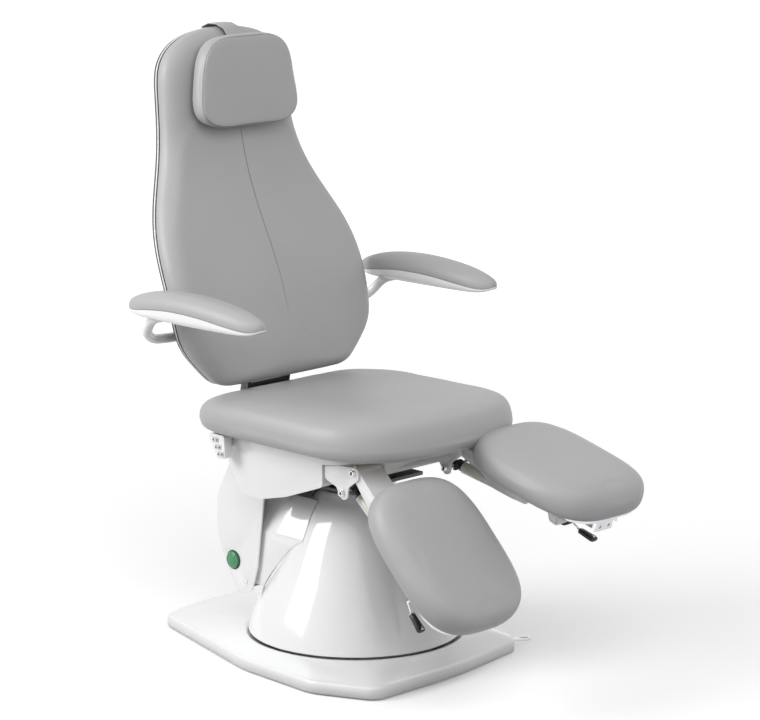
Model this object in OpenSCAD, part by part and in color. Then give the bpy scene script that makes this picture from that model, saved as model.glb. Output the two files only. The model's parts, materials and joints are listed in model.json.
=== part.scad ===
// Pedicure spa chair on a swivelling cone base, with a lifting and tilting seat, a reclining
// back and two separate leg rests.
// Frame: +Z up, the sitter faces -Y, the sitter's right is -X. The origin is the swivel axis
// at floor level. Millimetres and degrees.

/* [Base] */
// Swivel angle of the base under the chair, degrees
base_yaw = 4; // [-20:1:20]
// Distance from the swivel axis to the middle of the front edge
base_front = 288; // [270:1:310]
// Distance from the swivel axis to the middle of the rear edge
base_rear = 475; // [440:5:520]
// Half of the greatest width of the base
base_half = 290; // [275:1:310]
// Height of the rim of the base cover
base_rim = 30; // [24:1:34]
// Height of the base cover where it meets the cone
base_crown = 57; // [54:1:58]

/* [Cone] */
// Outer radius of the foot of the cone
cone_foot_r = 235; // [232:1:240]
// Height of the cone's top
cone_top_z = 372; // [368:1:376]

/* [Lift and tilt] */
// Outer radius of the inner lift column
column_r = 62; // [58:1:62]
// Y of the tilt hinge
tilt_y = 150; // [140:1:155]
// Z of the tilt hinge
tilt_z = 440; // [436:1:444]

/* [Seat] */
// Half of the seat cushion's width
seat_half = 256; // [245:1:262]
// Distance from the swivel axis to the cushion's front edge
seat_front = 304; // [280:1:305]
// Distance from the swivel axis to the cushion's rear edge
seat_rear = 266; // [240:1:268]
// Height of the seat's crown above the floor
seat_top = 591; // [584:1:592]

/* [Back] */
// Half of the back's greatest width
back_half = 284; // [270:1:290]
// Half of the back's width at its neck
back_neck = 183; // [170:1:190]
// Height of the top of the back
back_top = 1346; // [1320:1:1360]
// Height of the bottom of the back
back_bottom = 586; // [584:1:590]
// Y of the recline hinge
recline_y = 285; // [283:1:288]
// Z of the recline hinge
recline_z = 520; // [516:1:524]

/* [Armrests] */
// Distance from the middle of the chair to the middle of an armrest
arm_x = 350; // [345:1:365]
// Half of the width of an armrest pad
arm_half = 39; // [34:1:42]

/* [Leg rests] */
// Distance from the middle of the chair to the middle of a leg rest
leg_x = 156; // [154:1:160]
// Half of the width of a leg cushion
leg_half = 134; // [120:1:135]
// Distance from the leg hinge to the near end of its cushion
leg_near = 91; // [90:1:100]
// Distance from the leg hinge to the far end of its cushion
leg_far = 430; // [410:1:440]
// Angle of the right leg rest below the horizontal
right_pitch = 45.7; // [30:0.1:50]
// Angle of the left leg rest below the horizontal
left_pitch = 15.3; // [10:0.1:30]

/* [Hidden] */

// Facets of round parts, and of the round parts that are small
fine = 72;
small = 28;
// Radial clearance of a running fit
run = 0.05;
// A length that makes one solid cut cleanly through another
cut = 1;

// Leg hinge and gas spring pivot, seen from the side
hinge_y = -190;
hinge_z = 472;
spring_y = -158;
spring_z = 423.5;
// Far pivot of the gas spring, along the leg and below it
far_s = 297;
far_h = -29;
far_r = 5;
// End bracket of the slide, and the release lever beside the outer flange
bracket_s = 401;
lever_x = 41.5;
// Clamp stud, along the leg and above the hinge
clamp_s = 232;
clamp_h = 2.5;
// Cheeks of a leg bracket: inner and outer distance from the leg's middle
cheek_in = 36;
cheek_out = 40;
bolt_r = 6;
// Flanges of a leg plate, between the cheeks, and their side outline
flange_in = 32.4;
flange_out = 35.4;
flange_outline = rounded(
    [[11, -2], [10, 11], [-330, 11], [-330, -20], [-far_s - 8, far_h - 12], [-far_s + 12, far_h - 10],
     [-272, -16], [-222, -16], [-216, -34], [-172, -39], [-121, -41], [-102, -34], [-75, -20], [0, -11]],
    [6, 0, 0, 10, 9, 9, 8, 8, 8, 40, 12, 12, 30, 9]);
// Recline crank pin at rest
crank_y = 319;
crank_z = 471;
rod_z = 466;
// Armrest pivot behind the back
arm_y = 318;
arm_z = 695;
// Underside of the armrest's white plate
arm_plate_z = 765;
// Middles of the back's arms, of the hinge lugs on the seat frame and of its rails
back_arm_x = 60;
lug_x = 78;
rail_mid = 101;
// Sides of the tray and of the rear shell
tray_x = 200;
shell_x = 150;
wall = 4;
tray_top = 499.5;
band_front = -206;
board_t = 10;
// Mains button on the right side of the rear shell
button_y = 230;
button_z = 195;
button_r = 19;
// Pedal pivot on the base plate
pedal_x = 190;
pedal_y = -200;
pedal_turn = -36;
// Handset and its three rows of keys: middle and height of each
hand_y = 190;
hand_x = -236;
key_half = 10;
key_rows = [[hand_y, 487], [hand_y - 8, 472], [hand_y - 16, 457.5]];

// ---------- shape helpers ----------

// Outline with rounded corners: points and one radius for each
function fillet(p, a, b, r, n) =
    let (u = (a - p) / norm(a - p), v = (b - p) / norm(b - p), h = acos(u * v) / 2,
         t = r / tan(h), c = p + (u + v) / norm(u + v) * r / sin(h),
         s = p + u * t - c, e = p + v * t - c,
         a0 = atan2(s[1], s[0]), d = atan2(e[1], e[0]) - a0,
         w = d > 180 ? d - 360 : d < -180 ? d + 360 : d)
    [for (k = [0:n]) c + r * [cos(a0 + w * k / n), sin(a0 + w * k / n)]];
function rounded(pts, radii, n = 6) =
    let (m = len(pts))
    [for (i = [0:m - 1])
        each radii[i] == 0 ? [pts[i]]
            : fillet(pts[i], pts[(i + m - 1) % m], pts[(i + 1) % m], radii[i], n)];

// Closed solid through rings that all have the same number of points
module loft(rings) {
    n = len(rings[0]);
    m = len(rings);
    points = [for (r = rings) each r];
    sides = [for (j = [0:m - 2], i = [0:n - 1])
        let (a = j * n + i, b = j * n + (i + 1) % n) each [[a, a + n, b], [b, a + n, b + n]]];
    bottom = [for (i = [1:n - 2]) [0, i, i + 1]];
    top = [for (i = [1:n - 2]) (m - 1) * n * [1, 1, 1] + [0, i + 1, i]];
    polyhedron(concat(points), concat(sides, bottom, top));
}

// Point of a rounded outline: a and b are half sizes, p is how square it is
function sgn(v) = v < 0 ? -1 : 1;
function squircle(t, a, b, p) =
    [a * sgn(cos(t)) * pow(abs(cos(t)), 2 / p), b * sgn(sin(t)) * pow(abs(sin(t)), 2 / p)];

module at_y(y, z) {
    translate([0, y, z]) rotate([0, 90, 0]) children();
}

// Plate cut from an outline in Y and Z, from x0 to x1
module side_plate(x0, x1, pts) {
    translate([x0, 0, 0])
        rotate([90, 0, 90]) linear_extrude(x1 - x0) polygon(pts);
}

// Path through bend points: the corners are eased by curves that start at part t of each side
function bent(pts, t, n) =
    let (m = len(pts))
    concat([pts[0]],
           [for (i = [1:m - 2])
               let (p = pts[i], a = p + (pts[i - 1] - p) * t, b = p + (pts[i + 1] - p) * t)
               each [for (k = [0:n]) let (u = k / n) a * (1 - u) * (1 - u) + p * 2 * u * (1 - u) + b * u * u]],
           [pts[m - 1]]);

// Round tube along a path: no part of the path may run along the direction ref
function unit(v) = v / norm(v);
module tube(path, r, n, ref) {
    m = len(path);
    loft([for (i = [0:m - 1])
        let (d = unit(path[min(m - 1, i + 1)] - path[max(0, i - 1)]), u = unit(cross(ref, d)), v = cross(d, u))
        [for (k = [0:n - 1]) path[i] + r * (u * cos(360 * k / n) + v * sin(360 * k / n))]]);
}

// Straight round bar between two points
module bar(a, b, r) {
    d = b - a;
    translate(a)
        rotate([0, acos(d[2] / norm(d)), atan2(d[1], d[0])]) cylinder(h = norm(d), r = r, $fn = small);
}

module box(low, high) {
    translate(low) cube(high - low);
}

// ---------- base ----------

base_outline = rounded(
    [[0, -base_front], [base_half - 52, -base_front + 22], [base_half, -125], [262, 95],
     [132, base_rear - 20], [0, base_rear], [-132, base_rear - 20], [-262, 95],
     [-base_half, -125], [-base_half + 52, -base_front + 22]],
    [900, 42, 90, 260, 26, 500, 26, 260, 90, 42], 5);

// The cover's outline drawn towards the round foot of the cone: f is 0 at the rim, 1 there
function base_ring(f, inset, z) =
    [for (p = base_outline)
        let (r = norm(p), q = (r - inset) * (1 - f) + (cone_foot_r + 6) * f) [p[0] * q / r, p[1] * q / r, z]];

module base_shape(inset, drop) {
    loft([base_ring(0, inset, 3 - drop), base_ring(0, inset, base_rim - 4 - drop),
          base_ring(0, inset + 4, base_rim - drop), base_ring(0.35, inset, base_rim + 11 - drop),
          base_ring(0.7, inset, base_rim + 20 - drop), base_ring(1, 0, base_crown - drop)]);
}

module base_plate() {
    color("dimgray") rotate(base_yaw) {
        translate([0, 0, 4]) linear_extrude(6)
            polygon([for (p = base_outline) p * (1 - 14 / norm(p))]);
        translate([pedal_x, pedal_y, 0]) rotate(pedal_turn)
            for (s = [-1, 1]) difference() {
                box([-8, s * 17 - 4, 10], [8, s * 17 + 4, 26]);
                translate([0, s * 17, 19.5]) rotate([90, 0, 0])
                    cylinder(h = 10, r = 5 + run, center = true, $fn = small);
            }
    }
}

module base_cover() {
    color("white") rotate(base_yaw) difference() {
        base_shape(0, 0);
        base_shape(6, 5);
        cylinder(h = 200, r = 226, center = true, $fn = fine);
        translate([pedal_x, pedal_y, 0]) rotate(pedal_turn) box([50, -13, 2], [150, 13, 25.5]);
    }
}

// Six feet round the edge and a larger one under the lift column
module rubber_feet() {
    color("black") {
        rotate(base_yaw) for (p = [[220, -215], [-220, -215], [236, 40], [-236, 40], [95, 425], [-95, 425]])
            translate(p) cylinder(h = 4, r = 20, $fn = small);
        cylinder(h = 4, r = 45, $fn = fine);
    }
}

module turntable_lower() {
    color("silver") difference() {
        translate([0, 0, 10]) cylinder(h = 24, r = 150, $fn = fine);
        cylinder(h = 100, r = 100, $fn = fine);
        for (k = [0:5]) rotate(k * 60 + 30) translate([128, 0, 0]) cylinder(h = 100, r = 5, $fn = small);
    }
}

module lock_pedal() {
    color("silver") rotate(base_yaw) translate([pedal_x, pedal_y, 19.5]) rotate(pedal_turn) {
        difference() {
            translate([0, 0, -2.5]) linear_extrude(5)
                polygon(rounded([[-12, -9], [114, -9], [114, 9], [-12, 9]], [3, 8.5, 8.5, 3]));
            for (x = [92, 103]) translate([x, 0, 0]) cylinder(h = 20, r = 4, center = true, $fn = small);
            box([92, -4, -9], [103, 4, 9]);
        }
        rotate([90, 0, 0]) cylinder(h = 42, r = 5, center = true, $fn = small);
    }
}

// ---------- turret ----------

module turntable_upper() {
    color("silver") rotate_extrude($fn = fine)
        polygon([[72, 20], [100 - run, 20], [100 - run, 34.2], [150, 34.2], [150, 44], [158, 49],
                 [222, 49], [222, 54], [150, 54], [140, 44], [72, 44]]);
}

module outer_column() {
    color("gray") rotate_extrude($fn = fine)
        polygon([[column_r + run, 44.1], [110, 44.1], [110, 53], [68, 53], [66, 56], [66, 366],
                 [column_r + run, 366]]);
}

// Outer side of the cone, from its foot to the hole for the column
cone_side = [[cone_foot_r, 59], [cone_foot_r - 1, 64], [227, 90], [214, 121], [200, 150],
             [187, 177], [168, 212], [153, 245], [137, 280], [121, 314], [107, 338],
             [93, 356], [80, cone_top_z - 5], [67, cone_top_z]];

module cone_cover() {
    top = len(cone_side) - 1;
    color("white") rotate_extrude($fn = 96)
        polygon(concat(
            cone_side,
            [for (i = [top:-1:2]) cone_side[i] - (i > top - 4 ? [1, 4] : [4, 2])],
            [[228, 64], [205, 60], [205, 54.1], [222, 54.1], [226, 59]]));
}

module lift_actuator() {
    color("dimgray") difference() {
        union() {
            translate([0, 0, 30]) cylinder(h = 300, r = 24, $fn = small);
            translate([0, 0, 30]) cylinder(h = 14, r = 71.9, $fn = fine);
        }
        translate([0, 0, 66]) cylinder(h = 300, r = 10 + run, $fn = small);
    }
}

// Rear housing: no wider than the lifting shell allows, and above that it carries the cone's
// side straight back
housing_x = 140;
housing_low = 150;
housing_rear = 195;
housing_side = concat([[housing_x, 273]], [for (i = [8:11]) cone_side[i]]);

module housing_shape(inset, front, rear, low) {
    last = len(housing_side) - 1;
    half = [for (i = [0:last]) housing_side[i] - (i < last ? [inset, inset / 2] : [inset / 2, inset])];
    right = concat([[half[0][0], low]], half);
    translate([0, rear, 0]) rotate([90, 0, 0]) linear_extrude(rear - front)
        polygon(concat(right, [for (i = [len(right) - 1:-1:0]) [-right[i][0], right[i][1]]]));
}

module rear_housing() {
    color("whitesmoke") difference() {
        housing_shape(0, 22, housing_rear, housing_low);
        housing_shape(wall, 10, housing_rear - wall, housing_low - cut);
        rotate_extrude($fn = 96)
            polygon(concat([[0, 59]], [for (p = cone_side) p + [0.6, 0.6]], [[0, cone_top_z + 1]]));
    }
}

// ---------- carriage ----------

module inner_column() {
    color("silver") rotate_extrude($fn = fine)
        polygon([[54, 46], [column_r, 46], [column_r, 387], [90, 387], [90, 394.9], [54, 394.9]]);
}

module lift_rod() {
    color("lightgray") {
        translate([0, 0, 70]) cylinder(h = 317, r = 10, $fn = small);
        translate([0, 0, 386]) cylinder(h = 8.9, r = 30, $fn = small);
    }
}

module carriage_frame() {
    color("dimgray") {
        box([-120, -88, 395], [120, 136, 403]);
        box([-shell_x + wall + 0.1, 130, 395], [shell_x - wall - 0.1, 165, 403]);
        for (s = [-1, 1]) difference() {
            side_plate(s * 96 - 4, s * 96 + 4,
                rounded([[tilt_y - 26, 400], [tilt_y + 15, 400], [tilt_y + 15, tilt_z + 14],
                         [tilt_y - 15, tilt_z + 14]], [0, 0, 12, 12]));
            at_y(tilt_y, tilt_z) cylinder(h = 300, r = 8 + run, center = true, $fn = small);
        }
    }
}

// Side outline of the rear shell
screw_y = 190;
screw_z = 152;
shell_outline = rounded(
    [[124, 412], [240, 412], [283, 335], [283, 238], [216, 120], [172, 134], [154, 190], [132, 350]],
    [0, 0, 90, 110, 8, 18, 60, 60]);

module rear_shell() {
    color("white") difference() {
        side_plate(-shell_x, shell_x, shell_outline);
        side_plate(-shell_x + wall, shell_x - wall,
            rounded([[60, 440], [230, 440], [279, 334], [279, 239], [219, 128], [218, 90], [60, 90]],
                    [0, 0, 88, 106, 0, 0, 0]));
        at_y(button_y, button_z) translate([0, 0, -shell_x - cut])
            cylinder(h = wall + 2 * cut, r = button_r + run, $fn = fine);
        at_y(screw_y, screw_z) cylinder(h = 400, r = 2.5, center = true, $fn = small);
    }
}

module shell_screws() {
    color("silver")
        for (s = [-1, 1]) {
            at_y(screw_y, screw_z) translate([0, 0, s > 0 ? shell_x - 6 : -shell_x - 2])
                cylinder(h = 8, r = 2.4, $fn = small);
            at_y(screw_y, screw_z) translate([0, 0, s > 0 ? shell_x : -shell_x - 2])
                cylinder(h = 2, r = 4.5, $fn = small);
        }
}

module control_box() {
    color("black") box([-100, 142, 358], [100, 228, 394.9]);
}

module tilt_actuator() {
    color("dimgray") difference() {
        translate([0, -60, 403.1]) cylinder(h = 65, r = 17, $fn = small);
        translate([0, -60, 408]) cylinder(h = 80, r = 7 + run, $fn = small);
    }
}

module tilt_rod() {
    color("silver") translate([0, -60, 410]) cylinder(h = 63.5, r = 7, $fn = small);
}

module mains_button() {
    color("seagreen") at_y(button_y, button_z) {
        translate([0, 0, -shell_x - 5]) cylinder(h = 13, r = button_r, $fn = fine);
        translate([0, 0, -shell_x - 8]) cylinder(h = 3, r1 = 9, r2 = button_r - 2, $fn = fine);
    }
}

// ---------- seat ----------

module seat_frame() {
    color("dimgray") {
        for (s = [-1, 1]) {
            difference() {
                union() {
                    box([s * rail_mid - 13, -125, 474], [s * rail_mid + 13, 236, tray_top - 0.1]);
                    side_plate(s * 105 - 4, s * 105 + 4,
                        rounded([[tilt_y - 15, 480], [tilt_y - 15, tilt_z - 14], [tilt_y + 15, tilt_z - 14],
                                 [tilt_y + 15, 480]], [0, 12, 12, 0]));
                }
                at_y(tilt_y, tilt_z) cylinder(h = 300, r = 8 + run, center = true, $fn = small);
            }
            difference() {
                side_plate(s * lug_x - 4, s * lug_x + 4,
                    rounded([[228, 474], [262, 474], [recline_y + 15, recline_z - 6],
                             [recline_y + 15, recline_z + 15], [recline_y - 15, recline_z + 15],
                             [recline_y - 15, 499], [228, 499]], [0, 0, 12, 12, 12, 0, 0], 4));
                at_y(recline_y, recline_z) cylinder(h = 400, r = 8 + run, center = true, $fn = small);
            }
        }
        difference() {
            box([-114, 226, 474], [114, 240, 499.4]);
            box([-20, 220, 470], [20, 245, 487]);
        }
        box([-89, -75, 474], [89, -45, 499.4]);
        box([-89, 60, 480.1], [89, 84, 499.4]);
    }
}

// Side outline of the hopper below the seat, and the same outline drawn in by its wall
tray_outline = rounded(
    [[-102, tray_top], [-102, 426], [8, 386], [90, 366], [150, 370], [199, 452], [196, tray_top]],
    [0, 12, 120, 60, 20, 40, 0]);

// Plan of the tray's upper band: square behind, round in front
module band_plan(half, front, rear, corner) {
    polygon(rounded([[-half, front], [half, front], [half, rear], [-half, rear]], [corner, corner, 0, 0], 10));
}

module seat_tray() {
    color("white") {
        difference() {
            side_plate(-tray_x, tray_x, tray_outline);
            side_plate(-tray_x + wall, tray_x - wall,
                [[-98, 510], [-98, 300], [186, 300], [186, 420], [194, 455], [192, 510]]);
            box([-160, 120, 340], [160, 260, 460]);
            box([-50, 120, 340], [50, 260, 490]);
            for (s = [-1, 1]) box([s * rail_mid - 14, -150, 473.9], [s * rail_mid + 14, 250, 510]);
        }
        difference() {
            translate([0, 0, 460]) linear_extrude(tray_top - 460) difference() {
                band_plan(tray_x + wall, band_front, 200, 90);
                band_plan(tray_x - 0.5, band_front + wall, 210, 86);
            }
            side_plate(-300, 300, [[-300, 450], [-300, 487], [-196, 486], [-100, 476], [210, 474], [210, 450]]);
            box([-118, -300, 450], [118, -120, 510]);
        }
    }
}

module seat_board() {
    color("burlywood") translate([0, 0, seat_low]) linear_extrude(board_t) board_plan(0);
}

// Seat outline: round in front, nearly square behind
function seat_point(t, inset) =
    let (wide = seat_half - inset, front = seat_front - 120 - inset, back = seat_rear + 120 - inset)
    sin(t) < 0 ? squircle(t, wide, front, 2.3) + [0, -120]
               : let (q = squircle(t, wide, back, 7)) [q[0] * (1 - 0.02 * q[1] / back), q[1] - 120];
// Height of the cushion's top: it falls away behind, under the back
function seat_drop(y) = y < 60 ? 0 : 20 * pow((y - 60) / 200, 1.5);
seat_low = 500;
// Each layer of a cushion: how far it is drawn in, and its height as a part of the thickness
seat_layers = [[38, 0], [24, 0.02], [9, 0.1], [1, 0.27], [0, 0.45], [4, 0.65], [12, 0.8], [26, 0.895],
               [50, 0.945], [90, 0.975], [150, 0.993], [215, 1]];

module board_plan(grow) {
    polygon(rounded([[-208 - grow, -238 - grow], [208 + grow, -238 - grow], [205 + grow, 225 + grow],
                     [-205 - grow, 225 + grow]], [60, 60, 25, 25]));
}

// The cushion covers the edge of its board
module seat_cushion() {
    n = 56;
    color("darkgray") difference() {
        loft([for (k = seat_layers)
            [for (i = [0:n - 1])
                let (p = seat_point(360 * i / n, k[0]), top = seat_top - seat_drop(p[1]))
                [p[0], p[1], seat_low + (top - seat_low) * k[1]]]]);
        translate([0, 0, seat_low - cut]) linear_extrude(board_t + 0.1 + cut) board_plan(0.3);
    }
}

module front_crossbar() {
    color("white") difference() {
        box([-leg_x + cheek_out, -165, 442], [leg_x - cheek_out, -125.1, 490]);
        box([-leg_x + cheek_out - cut, -161, 446], [leg_x - cheek_out + cut, -129, 486]);
        translate([40, -163, 462]) rotate([90, 0, 0]) cylinder(h = 10, r = 5, center = true, $fn = small);
    }
}

module leg_brackets() {
    outline = rounded(
        [[-106, 474], [-106, 446], [-140, 434], [spring_y + 2, spring_z - 15], [spring_y - 14, spring_z - 12],
         [spring_y - 18, spring_z + 14], [hinge_y - 15, hinge_z - 14], [hinge_y - 16, hinge_z + 12],
         [-160, hinge_z + 9]],
        [0, 8, 12, 9, 9, 8, 12, 12, 10], 5);
    color("whitesmoke") for (s = [-1, 1]) translate([s * leg_x, 0, 0]) difference() {
        union() {
            for (c = [-1, 1])
                side_plate(min(c * cheek_in, c * cheek_out), max(c * cheek_in, c * cheek_out), outline);
            box([-cheek_in - 1, -133, 444], [cheek_in + 1, -127, 477]);
        }
        at_y(hinge_y, hinge_z) cylinder(h = 200, r = bolt_r + run, center = true, $fn = small);
        at_y(spring_y, spring_z) cylinder(h = 200, r = bolt_r + run, center = true, $fn = small);
    }
}

module headed_pin(x0, x1, y, z, r, head) {
    at_y(y, z) {
        translate([0, 0, x0]) cylinder(h = x1 - x0, r = r, $fn = small);
        translate([0, 0, x0 - 3]) cylinder(h = 3, r = head, $fn = small);
        translate([0, 0, x1]) cylinder(h = 3, r = head, $fn = small);
    }
}

module pivot_bolts() {
    color("silver") {
        for (s = [-1, 1]) {
            for (p = [[hinge_y, hinge_z], [spring_y, spring_z]])
                headed_pin(s * leg_x - cheek_out - 0.1, s * leg_x + cheek_out + 0.1, p[0], p[1], bolt_r, 8.5);
            at_y(tilt_y, tilt_z) translate([0, 0, s * 101]) cylinder(h = 19, r = 8, center = true, $fn = small);
            at_y(recline_y, recline_z) translate([0, 0, s * (lug_x - 5)])
                cylinder(h = 24, r = 8, center = true, $fn = small);
        }
    }
}

module back_actuator() {
    color("dimgray") difference() {
        translate([0, 45, rod_z]) rotate([-90, 0, 0]) cylinder(h = 145, r = 14, $fn = small);
        translate([0, 47, rod_z]) rotate([-90, 0, 0]) cylinder(h = 200, r = 7 + run, $fn = small);
    }
}

module back_rod() {
    color("silver") {
        translate([0, 118, rod_z]) rotate([-90, 0, 0]) cylinder(h = 188, r = 7, $fn = small);
        difference() {
            box([-9, 304, 451], [9, 330, 483]);
            box([-10, crank_y - 6.8, 454], [10, crank_y + 6.8, 479]);
        }
    }
}

module handset_holder() {
    color("white") {
        box([hand_x + 20.2, hand_y - 20, 470], [-tray_x - wall - 0.1, hand_y - 9, 496]);
        box([hand_x + 20.2, hand_y - 20, 466], [hand_x + 24, hand_y + 2, 498]);
    }
}

hand_outline = rounded([[hand_y - 27, 499], [hand_y - 30, 448], [hand_y - 5, 446], [hand_y + 28, 499]],
                       [6, 9, 10, 7]);

module handset() {
    color("white") difference() {
        side_plate(hand_x, hand_x + 20, hand_outline);
        for (k = key_rows)
            box([hand_x - cut, k[0] - key_half - 0.2, k[1] - 5.2],
                [hand_x + 3.2, k[0] + key_half + 0.2, k[1] + 5.2]);
    }
}

module handset_key(i) {
    k = key_rows[i];
    color("dimgray") box([hand_x - 1.2, k[0] - key_half, k[1] - 5], [hand_x + 1.8, k[0] + key_half, k[1] + 5]);
}

// ---------- back ----------

// Middle of the back's thickness: upright below, leaning back through the waist, upright again
function back_y(z) = 222 + 196 / (1 + exp(-(z - 908) / 98));
back_wide_z = 790;
// Its width near the bottom: height above the bottom edge, and how much narrower it is there
back_foot = [[0, -132], [3, -104], [9, -86], [28, -66], [51, -44], [79, -20], [95, -8], [130, -2], [204, 0]];
function back_w(z, inset) =
    let (top0 = back_top - 116, f = z > top0 ? min(1, (z - top0) / (back_top - top0)) : 0,
         w = z < back_wide_z ? lookup(z - back_bottom, back_foot) + back_half
             : back_neck + (back_half - back_neck) * exp(-pow((z - back_wide_z) / 232, 2.9)))
    max(20, (w - inset) * pow(max(0, 1 - pow(f, 2.4)), 1 / 2.4));

// Heights of the back's rings, closer together at its round ends
function back_z(k, m) = let (u = k / m) back_bottom + (back_top - back_bottom) * (0.5 - 0.5 * cos(180 * u));

// Ring across the back at height z; front and rear are measured from its middle surface
function back_ring(z, inset, front, rear, n) =
    let (w = back_w(z, inset), mid = back_y(z) + (rear - front) / 2, half = (rear + front) / 2)
    [for (i = [0:n - 1])
        let (q = squircle(360 * i / n, w, half, 3.4),
             bulge = q[1] < 0 ? -9 * max(0, 1 - pow(q[0] / w, 2)) : 0) [q[0], mid + q[1] + bulge, z]];

// The ends of the back are thinner, so that they come out round
function back_thin(k, m) = let (u = min(k, m - k)) u > 3 ? 1 : [0.35, 0.68, 0.87, 0.97][u];

module back_cushion() {
    m = 24;
    color("darkgray") loft([for (k = [0:m])
        let (t = back_thin(k, m)) back_ring(back_z(k, m), 0, 32 * t - 4 * (1 - t), 20 - 9 * (1 - t), 40)]);
}

module back_board() {
    m = 24;
    color("gray") loft([for (k = [1:m - 1])
        let (z = back_z(k, m), w = max(16, back_w(z, 3)), y0 = back_y(z) + 20.6)
        [[-w, y0, z], [w, y0, z], [w - 3, y0 + 11, z], [w - 14, y0 + 15, z],
         [-w + 14, y0 + 15, z], [-w + 3, y0 + 11, z]]]);
}

module back_frame() {
    lo = 588;
    hi = 870;
    step = 23.5;
    front = 38.5;
    rear = 62;
    arm = concat([for (z = [lo:step:hi]) [back_y(z) + front, z]],
                 [for (z = [hi:-step:lo]) [back_y(z) + rear, z]],
                 [[recline_y + 13, 545], [recline_y + 13, recline_z],
                  [recline_y - 12, recline_z], [recline_y - 12, 560]]);
    color("dimgray") {
        for (s = [-1, 1]) difference() {
            union() {
                side_plate(s * back_arm_x - 4, s * back_arm_x + 4, arm);
                at_y(recline_y, recline_z) translate([0, 0, s * (lug_x - 19)])
                    cylinder(h = 28, r = 14, center = true, $fn = small);
                at_y(arm_y, arm_z) translate([0, 0, s * 142])
                    cylinder(h = 56, r = 18, center = true, $fn = small);
                box([min(s * back_arm_x, s * 130), arm_y - 20, arm_z - 14],
                    [max(s * back_arm_x, s * 130), arm_y + 8, arm_z + 14]);
            }
            at_y(recline_y, recline_z) translate([0, 0, s * (lug_x - 10)])
                cylinder(h = 30, r = 8 + run, center = true, $fn = small);
            at_y(arm_y, arm_z) translate([0, 0, s * 142])
                cylinder(h = 60, r = 12 + run, center = true, $fn = small);
        }
        at_y(recline_y, recline_z) cylinder(h = 100, r = 14, center = true, $fn = small);
        box([-back_arm_x, recline_y - 12, 556], [back_arm_x, recline_y + 6, 572]);
        box([-back_arm_x, arm_y - 20, arm_z - 14], [back_arm_x, arm_y + 8, arm_z + 14]);
        box([-back_arm_x, back_y(840) + front + 2, 832], [back_arm_x, back_y(840) + rear - 6, 848]);
        for (s = [-1, 1])
            side_plate(s * 14 - 3, s * 14 + 3,
                rounded([[recline_y - 8, recline_z + 4], [recline_y + 12, recline_z + 8], [crank_y + 10, crank_z],
                         [crank_y + 2, crank_z - 10], [crank_y - 9, crank_z - 2]], [4, 6, 6, 6, 6], 4));
        at_y(crank_y, crank_z) cylinder(h = 30, r = 5, center = true, $fn = small);
    }
}

module headrest_strap() {
    w = 24;
    t = 2;
    end = back_y(back_top);
    front = [for (z = [1170:26:1326]) [back_y(z) - 46, z]];
    over = [[end - 30, back_top - 2], [end - 8, back_top + 5], [end + 18, back_top + 5],
            [end + 38, back_top - 3]];
    rear = [for (z = [1316:-40:1156]) [back_y(z) + 41, z]];
    path = concat(front, over, rear);
    m = len(path);
    function side(i) =
        let (a = path[max(0, i - 1)], b = path[min(m - 1, i + 1)], d = (b - a) / norm(b - a)) [-d[1], d[0]];
    color("darkgray") side_plate(-w, w,
        concat([for (i = [0:m - 1]) path[i]], [for (i = [m - 1:-1:0]) path[i] + side(i) * t]));
}

module headrest_cushion() {
    m = 10;
    n = 32;
    z0 = 1134;
    z1 = 1334;
    color("darkgray") loft([for (k = [0:m])
        let (u = k / m, z = z0 + (z1 - z0) * (0.5 - 0.5 * cos(180 * u)), e = abs(2 * (z - z0) / (z1 - z0) - 1),
             w = (148 - 30 * (z - z0) / (z1 - z0)) * pow(max(0.02, 1 - pow(e, 4.6)), 1 / 4.6),
             thin = k == 0 || k == m ? 0.78 : 1)
        [for (i = [0:n - 1])
            let (q = squircle(360 * i / n, max(w, 80), 18 * thin, 5),
                 bulge = q[1] < 0 ? -5 * max(0, 1 - pow(q[0] / max(w, 80), 2)) * (1 - e * e) : 0)
            [q[0], back_y(z) - 68.5 + q[1] + bulge, z]]]);
}

// ---------- armrests ----------

// Armrest along its length, u from 0 in front to 1 behind: place, half width, underside of the
// white plate, its seam with the pad, and the height of the pad over the seam
arm_low_y = -85;
arm_len = 410;
arm_steps = 18;
function arm_u(k) = 0.5 - 0.5 * cos(180 * k / arm_steps);
function arm_at(u) = arm_low_y + arm_len * u;
function arm_w(u) = max(8, arm_half * pow(max(0, 1 - pow(abs(2 * u - 1), 2.8)), 1 / 2.4));
function arm_under(u) = arm_plate_z + 12 * pow(abs(2 * u - 1), 12);
function arm_seam(u) = arm_under(u) + 3 + 23 * pow(max(0, sin(180 * pow(u, 1.15))), 0.85);
function arm_pad_h(u) = 6 + 31 * sqrt(max(0, 1 - pow(abs(2 * u - 1), 6)));

module arm_plate_shape(s, grow) {
    translate([s * arm_x, 0, 0]) loft([for (k = [arm_steps:-1:0])
        let (u = arm_u(k), y = arm_at(u) + grow * (2 * u - 1), w = arm_w(u) + grow, low = arm_under(u) - grow,
             top = arm_seam(u) + grow, mid = low + (top - low) * 0.35)
        [[-w, y, top], [-w + 1.5, y, mid], [-w * 0.74, y, low],
         [w * 0.74, y, low], [w - 1.5, y, mid], [w, y, top]]]);
}

module armrest_tube(s) {
    path = bent([[s * arm_x, 214, arm_plate_z + 6], [s * arm_x, 262, arm_plate_z - 8],
                 [s * (arm_x - 10), 292, 722], [s * 300, arm_y - 4, arm_z + 4],
                 [s * 250, arm_y, arm_z], [s * 200, arm_y, arm_z]], 0.42, 5);
    color("white") {
        difference() {
            tube(path, 11, 20, [0, 1, 1]);
            arm_plate_shape(s, 0.15);
        }
        at_y(arm_y, arm_z) translate([0, 0, s * 160]) cylinder(h = 92, r = 12, center = true, $fn = small);
    }
}

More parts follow.
